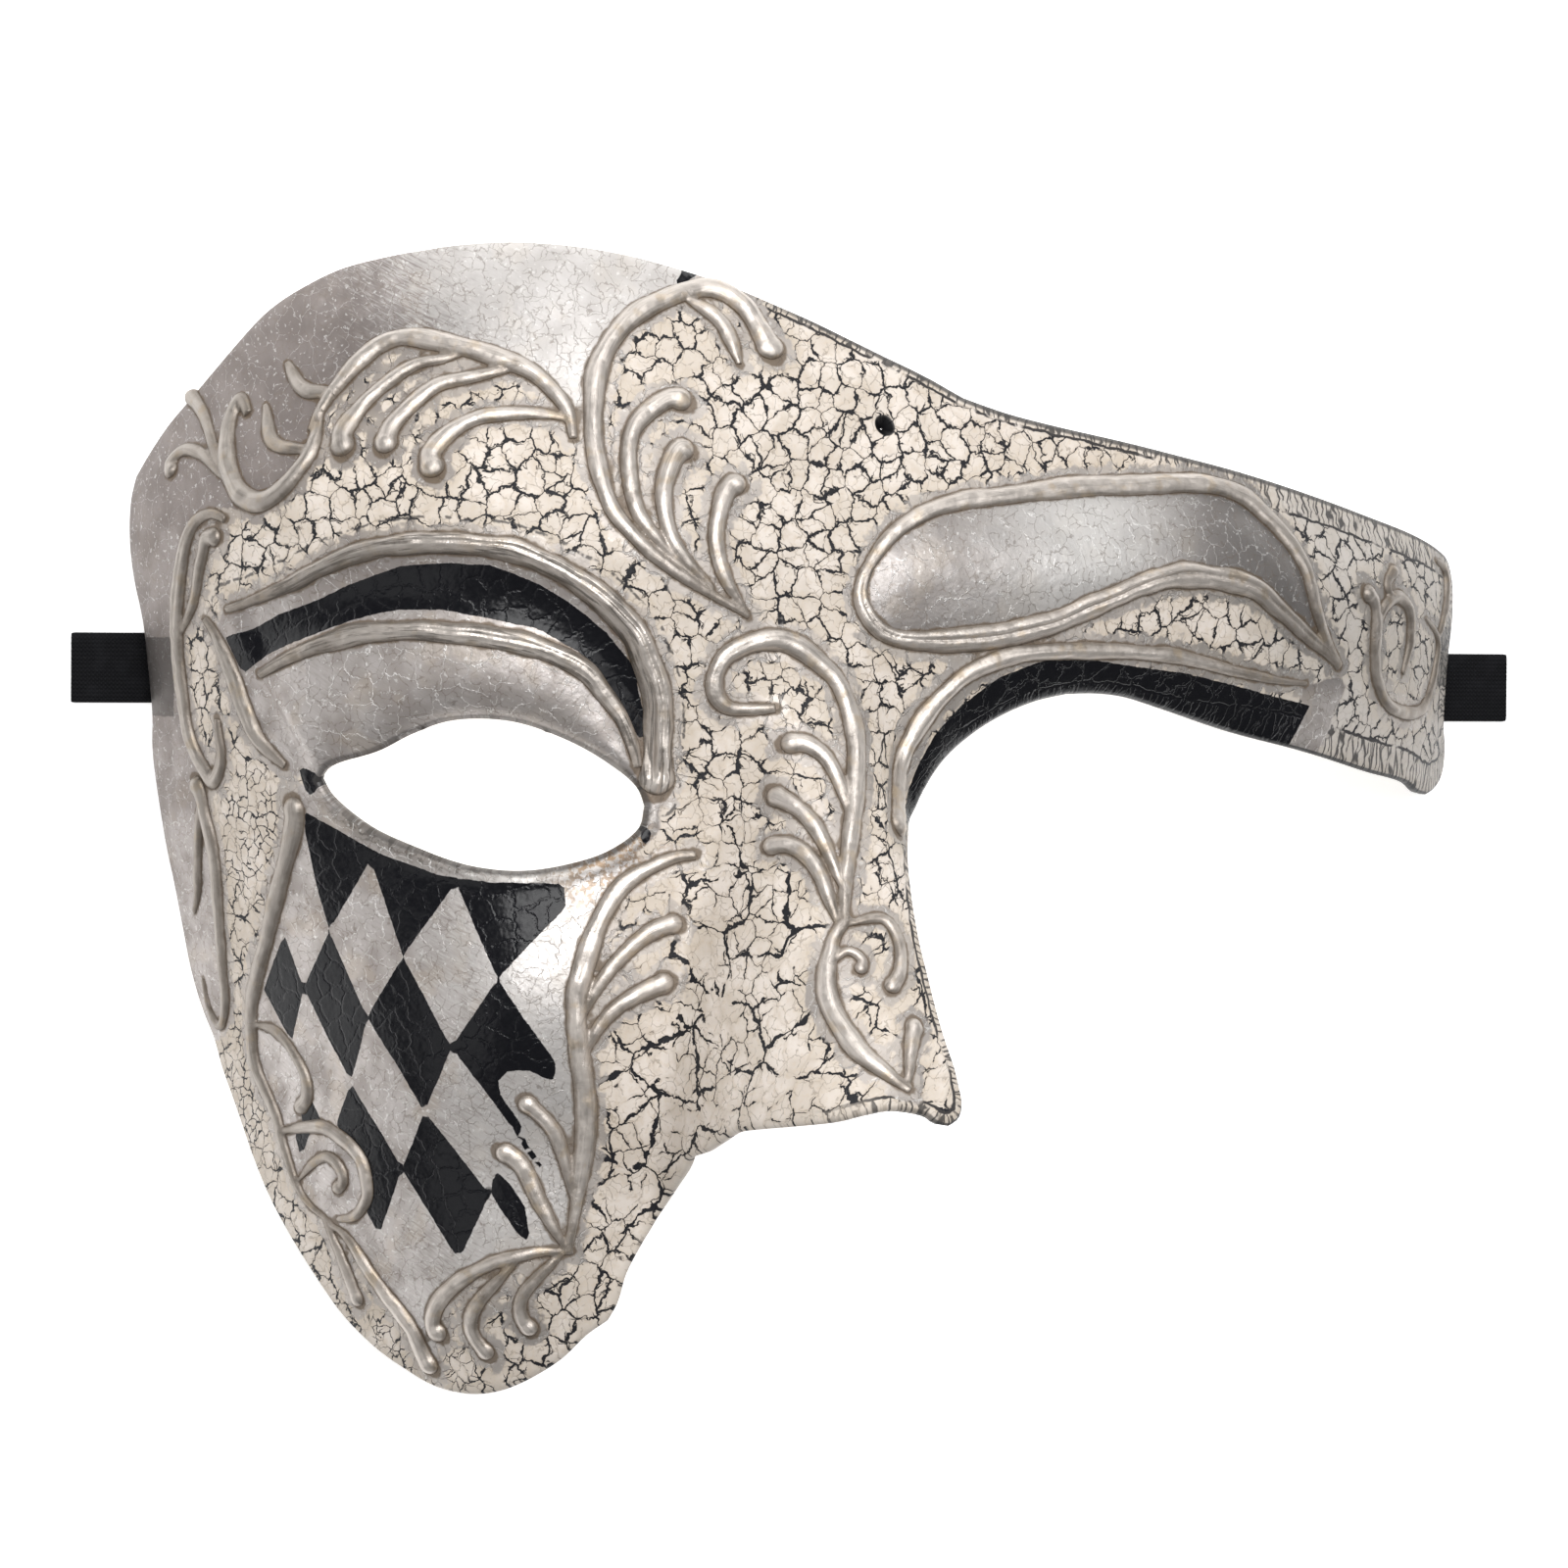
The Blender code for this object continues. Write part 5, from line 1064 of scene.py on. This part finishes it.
    metal = m.mix(m.times(lip, 0.62), metal, (0.20, 0.185, 0.165))
    metal = m.mix(m.times(m.times(lip, m.span(dust, 0.50, 0.60)), 0.55), metal, (0.07, 0.06, 0.05))
    # painted highlight: the silver lightened toward the middle of the face on the cheek and the forehead, and on the
    # crown of the far dome, where the lamps light it most
    painted_highlight = m.calc("ADD", x_side, m.times(m.calc("SUBTRACT", brushed, 0.5), 34.0))
    painted_highlight = m.times(m.span(painted_highlight, -59.0, -46.0), m.rest_of(m.span(x_side, -14.0, -4.0)))
    painted_highlight = m.times(m.times(painted_highlight, m.both(m.rest_of(m.span(v, -14.0, -6.0)), m.span(v, 36.0, 44.0))), silver_field)
    painted_dome_highlight = m.times(m.times(m.span(x_side, 18.0, 45.0), m.rest_of(m.span(x_side, 48.0, 70.0))), m.times(m.span(v, 10.0, 20.0), silver_field))
    metal = m.mix(m.both(m.times(painted_highlight, 0.45), m.times(painted_dome_highlight, 0.72)), metal, (0.76, 0.745, 0.725))
    smudge = m.times(m.times(m.rest_of(m.span(d_eye, 4.0, 11.0)), m.span(x_side, -44.0, -35.0)), m.rest_of(m.span(v, -7.0, -2.0)))
    metal = m.mix(m.times(m.times(smudge, m.span(dust, 0.42, 0.58)), 0.72), metal, (0.24, 0.155, 0.085))
    metal = m.mix(m.times(m.times(margin, m.rest_of(silver_field)), 0.40), metal, (0.42, 0.40, 0.385))
    # the embossed lines show light where the silver has painted shade and dark where it has painted highlight
    metal = m.mix(m.times(emboss, m.times(m.blend(painted_shade, 0.62, 0.25), m.rest_of(painted_highlight))), metal, (0.88, 0.87, 0.85))
    metal = m.mix(m.times(m.times(emboss, painted_highlight), 0.55), metal, (0.30, 0.27, 0.24))
    metal = m.mix(m.times(m.span(grain, 0.66, 0.72), 0.35), metal, (0.92, 0.91, 0.89))
    metal = m.mix(m.times(hair, 0.50), metal, (0.20, 0.165, 0.14))
    crease = m.rest_of(m.span(m.calc("ADD", d_rib, m.times(uneven, 0.9)), 0.0, 0.42))
    # --- black lacquer
    black_edge = m.calc("ADD", d_black, m.times(m.calc("ADD", m.calc("SUBTRACT", speck, 0.5), uneven), 0.20))
    black = m.rest_of(m.span(black_edge, -0.07, 0.07))
    hide = m.rest_of(m.span(near_mid, 0.0, 0.42))
    lacquer = m.mix(m.times(m.times(m.rest_of(m.span(near_mid, 0.02, 0.08)), m.span(cloud, 0.45, 0.6)), 0.06),
                    (0.0050, 0.0052, 0.0070), (0.075, 0.075, 0.08))
    # --- together
    shown = m.times(cracks, m.rest_of(m.times(silver, 0.62)))
    shown = m.times(shown, m.rest_of(m.times(silver_field, 0.98)))
    base = m.mix(shown, cream, (0.014, 0.014, 0.017))
    base = m.mix(silver, base, metal)
    base = m.mix(m.times(crease, 0.80), base, (0.12, 0.082, 0.048))
    outline = m.times(m.rest_of(m.span(m.calc("ABSOLUTE", m.calc("SUBTRACT", d_brow, m.calc("ADD", 2.9, uneven))), 0.10, 0.34)),
                      m.span(dim, 0.44, 0.54))
    base = m.mix(m.times(outline, 0.8), base, (0.03, 0.03, 0.033))
    base = m.mix(black, base, lacquer)
    stain = m.rest_of(m.span(m.calc("ADD", d_stain, m.times(uneven, 0.5)), -0.1, 0.1))
    base = m.mix(m.times(stain, 0.62), base, (0.055, 0.052, 0.050))
    dark_edge = m.times(m.times(m.span(edge, 0.05, 0.45), m.span(x_side, -6.0, 6.0)), 0.92)
    base = m.mix(dark_edge, base, (0.05, 0.05, 0.052))
    top_edge = m.times(m.times(m.rest_of(m.span(d_rim, 0.85, 1.35)), m.span(x_side, -6.0, 6.0)), m.span(v, 24.0, 30.0))
    eye_edge = m.times(m.rest_of(m.span(m.calc("ADD", d_eye, m.times(uneven, 0.5)), 0.62, 1.10)), 0.55)
    base = m.mix(m.both(m.times(top_edge, 0.88), eye_edge), base, (0.07, 0.066, 0.064))
    base = m.mix(m.number("pin"), base, (0.006, 0.006, 0.007))
    m.put(base, m.shader.inputs["Base Color"])
    shiny = m.times(m.times(silver, m.rest_of(black)), m.rest_of(m.times(crease, 0.6)))
    m.put(m.times(shiny, 0.66), m.shader.inputs["Metallic"])
    rough = m.blend(silver, m.span(dust, 0.3, 0.7, 0.44, 0.56), m.span(patches, 0.35, 0.68, 0.42, 0.56))
    rough = m.blend(black, rough, m.span(dust, 0.3, 0.7, 0.17, 0.27))
    m.put(rough, m.shader.inputs["Roughness"])
    m.shader.inputs["Specular IOR Level"].default_value = 0.26
    height = m.times(shown, -0.16)
    height = m.calc("ADD", height, m.times(m.times(emboss, m.rest_of(black)), 0.045))
    height = m.calc("ADD", height, m.times(m.times(hide, black), m.span(x_side, -10.0, 10.0, -0.060, -0.018)))
    height = m.calc("ADD", height, m.times(m.times(live_patch, black), 0.09))
    height = m.calc("ADD", height, m.times(m.times(grain, m.rest_of(m.times(black, 0.8))), 0.045))
    height = m.calc("ADD", height, m.times(dim, 0.09))
    m.put(m.bump(height, 0.85), m.shader.inputs["Normal"])
    return m.material


def make_paper():
    """The bare inside: pale pressed paper pulp."""
    m = Paint("pressed_paper")
    u, v, _ = m.three("skin_mm")
    place = m.vector(u, v)
    cloud = m.noise(place, 11.0, 4.0, 0.6)
    fibre = m.noise(m.vector(m.times(u, 1.0), m.times(v, 2.4)), 1.1, 4.0, 0.65, 1.2)
    base = m.mix(m.span(cloud, 0.35, 0.68), (0.80, 0.765, 0.70), (0.68, 0.635, 0.56))
    base = m.mix(m.times(m.span(fibre, 0.48, 0.70), 0.35), base, (0.55, 0.50, 0.43))
    m.put(base, m.shader.inputs["Base Color"])
    m.shader.inputs["Roughness"].default_value = 0.88
    height = m.calc("ADD", m.times(fibre, 0.14), m.times(m.noise(place, 3.2, 3.0), 0.35))
    m.put(m.bump(height, 0.7), m.shader.inputs["Normal"])
    return m.material


def make_silver(name, streaks, gold, light):
    """Antiqued silver paste: dark wax in the creases, rubbed bright on top."""
    m = Paint(name)
    rise = m.number("rise")
    run, across, share = m.three("stroke")
    x, y, z = m.three("mask_mm")
    place = m.vector(x, y, z)
    lump = m.noise(place, 1.6, 3.0, 0.6, flat=False)
    cloud = m.noise(place, 4.6, 3.0, 0.6, flat=False)
    grain = m.noise(place, 0.36, 3.0, 0.65, flat=False)
    pull = m.noise(m.vector(m.times(run, 0.11), m.times(across, 1.5)), 1.0, 2.0, 0.6)
    level = m.calc("ADD", rise, m.times(m.calc("SUBTRACT", lump, 0.5), 0.5))
    body = m.mix(m.span(cloud, 0.38, 0.66), (0.42 * light, 0.372 * light, 0.330 * light), (0.290 * light, 0.250 * light, 0.212 * light))
    body = m.mix(m.times(m.span(level, 0.50, 0.95), 0.72), body, (0.69 * light, 0.635 * light, 0.585 * light))
    body = m.mix(m.times(m.span(m.noise(place, 3.1, 2.0, flat=False), 0.54, 0.70), gold), body, (0.50, 0.385, 0.25))
    body = m.mix(m.times(m.span(pull, 0.52, 0.66), streaks), body, (0.13, 0.115, 0.10))
    base = m.mix(m.rest_of(m.span(level, -0.05, 0.40)), body, (0.105, 0.072, 0.042))
    base = m.mix(m.times(m.span(grain, 0.60, 0.75), 0.3), base, (0.85, 0.83, 0.80))
    # painted shade: mouldings darkened at the near temple and on the far side, which face away from the lamps
    base = m.mix(m.both(m.times(m.rest_of(m.span(x, -74.0, -50.0)), 0.48), m.times(m.span(x, 64.0, 88.0), 0.45)), base, (0.15, 0.13, 0.11))
    m.put(base, m.shader.inputs["Base Color"])
    m.put(m.span(level, 0.0, 0.5, 0.25, 0.66), m.shader.inputs["Metallic"])
    m.put(m.span(lump, 0.35, 0.68, 0.36, 0.52), m.shader.inputs["Roughness"])
    height = m.calc("ADD", m.times(grain, 0.030), m.times(lump, 0.09))
    height = m.calc("ADD", height, m.times(pull, 0.10 * streaks + 0.03))
    m.put(m.bump(height, 0.8), m.shader.inputs["Normal"])
    return m.material


def make_elastic():
    m = Paint("woven_elastic")
    along, across, face = m.three("weave")
    yarn = m.calc("SINE", m.times(across, 2 * math.pi * 17 / STRAP_WIDTH))
    pick = m.calc("SINE", m.calc("ADD", m.times(along, 2 * math.pi / 0.62), m.times(m.calc("SIGN", yarn), math.pi / 2)))
    place = m.vector(along, across, face)
    fuzz = m.noise(place, 0.30, 3.0, 0.7, flat=False)
    worn = m.noise(place, 3.5, 2.0, flat=False)
    base = m.mix(m.span(pick, -0.4, 0.9), (0.0040, 0.0040, 0.0048), (0.0095, 0.0098, 0.0115))
    base = m.mix(m.times(m.span(worn, 0.5, 0.7), 0.4), base, (0.0125, 0.0128, 0.0150))
    m.put(base, m.shader.inputs["Base Color"])
    m.put(m.span(fuzz, 0.3, 0.7, 0.72, 0.9), m.shader.inputs["Roughness"])
    m.shader.inputs["Sheen Weight"].default_value = 0.0
    m.shader.inputs["Sheen Roughness"].default_value = 0.5
    m.shader.inputs["Specular IOR Level"].default_value = 0.12
    height = m.calc("ADD", m.times(pick, 0.035), m.calc("ADD", m.times(yarn, 0.03), m.times(fuzz, 0.05)))
    m.put(m.bump(height, 0.9), m.shader.inputs["Normal"])
    return m.material


def make_floor():
    m = Paint("pale_floor")
    m.shader.inputs["Base Color"].default_value = (0.92, 0.92, 0.92, 1.0)
    m.shader.inputs["Roughness"].default_value = 0.75
    m.shader.inputs["Specular IOR Level"].default_value = 0.2
    m.shader.inputs["Emission Color"].default_value = (1.0, 1.0, 1.0, 1.0)
    m.shader.inputs["Emission Strength"].default_value = 0.62
    floor = mesh_piece("floor", [(-3, -3, 0), (3, -3, 0), (3, 3, 0), (-3, 3, 0)], [(0, 1, 2, 3)])
    floor.data.materials.append(m.material)
    return floor


# ---------------------------------------------------------------- the whole
YAW, DISTANCE, SCALE = math.radians(25.0), 1000.0, 6.8    # the view's turn, its distance (mm), pixels a millimetre
RIGHT = np.array((math.cos(YAW), 0.0, math.sin(YAW)))
UP = np.array((0.0, 1.0, 0.0))
BACK = np.array((-math.sin(YAW), 0.0, math.cos(YAW)))
AIM = (840.0, 820.0)         # where the bridge of the nose lies in the 1600 frame


def make_camera():
    eye = -(AIM[0] - 800) / SCALE * RIGHT + (AIM[1] - 800) / SCALE * UP + DISTANCE * BACK
    data = bpy.data.cameras.new("camera")
    data.sensor_fit, data.sensor_width = "HORIZONTAL", 36.0
    data.lens = SCALE * DISTANCE * 36.0 / 1600.0
    data.clip_start, data.clip_end = 0.05, 20.0
    camera = bpy.data.objects.new("camera", data)
    bpy.context.scene.collection.objects.link(camera)
    turn = np.stack([TURN @ RIGHT, TURN @ UP, TURN @ BACK], 1)
    camera.matrix_world = Matrix.Translation(Vector(to_world(eye))) @ Matrix(turn.tolist()).to_4x4()
    bpy.context.scene.camera = camera
    return camera


def make_light(name, across, up, back, distance, size, watts, tint=(1.0, 1.0, 1.0)):
    """A soft square light, placed by its direction from the mask: right, up and toward the camera."""
    way = across * RIGHT + up * UP + back * BACK
    way = TURN @ (way / np.linalg.norm(way))
    data = bpy.data.lights.new(name, "AREA")
    data.shape, data.size, data.energy, data.color = "SQUARE", size, watts, tint
    light = bpy.data.objects.new(name, data)
    bpy.context.scene.collection.objects.link(light)
    at = Vector((0.0, 0.0, 0.05)) + Vector(way) * distance
    light.location = at
    light.rotation_euler = (Vector((0.0, 0.0, 0.05)) - at).to_track_quat("-Z", "Y").to_euler()
    return light


make_camera()
make_skin()
silver = make_silver("antique_silver", 0.25, 0.45, 1.0)
streaked = make_silver("streaked_silver", 0.75, 0.25, 1.0)
for moulding in dict.fromkeys(row[0] for row in SCROLLS):
    piece = make_moulding(moulding)
    piece.data.materials.clear()
    piece.data.materials.append(streaked if moulding in ("brow_arch_rib", "eyelid_rib") else silver)
elastic = make_elastic()
for row in STRAPS:
    make_strap(*row).data.materials.append(elastic)
make_floor()

world = bpy.data.worlds.new("studio")
bpy.context.scene.world = world
world.use_nodes = True
world.node_tree.nodes["Background"].inputs[0].default_value = (1.0, 1.0, 1.0, 1.0)
world.node_tree.nodes["Background"].inputs[1].default_value = 0.17
make_light("key", 0.12, 0.45, 1.0, 1.1, 0.8, 12.0)
make_light("key_right", 0.85, 0.38, 1.0, 1.1, 0.7, 2.4)
make_light("fill", -0.9, -0.3, 0.9, 1.3, 0.8, 1.5)
make_light("top", 0.2, 1.2, 0.45, 1.2, 0.5, 2.2)
bpy.context.scene.view_settings.view_transform = "Standard"
bpy.context.scene.view_settings.look = "None"
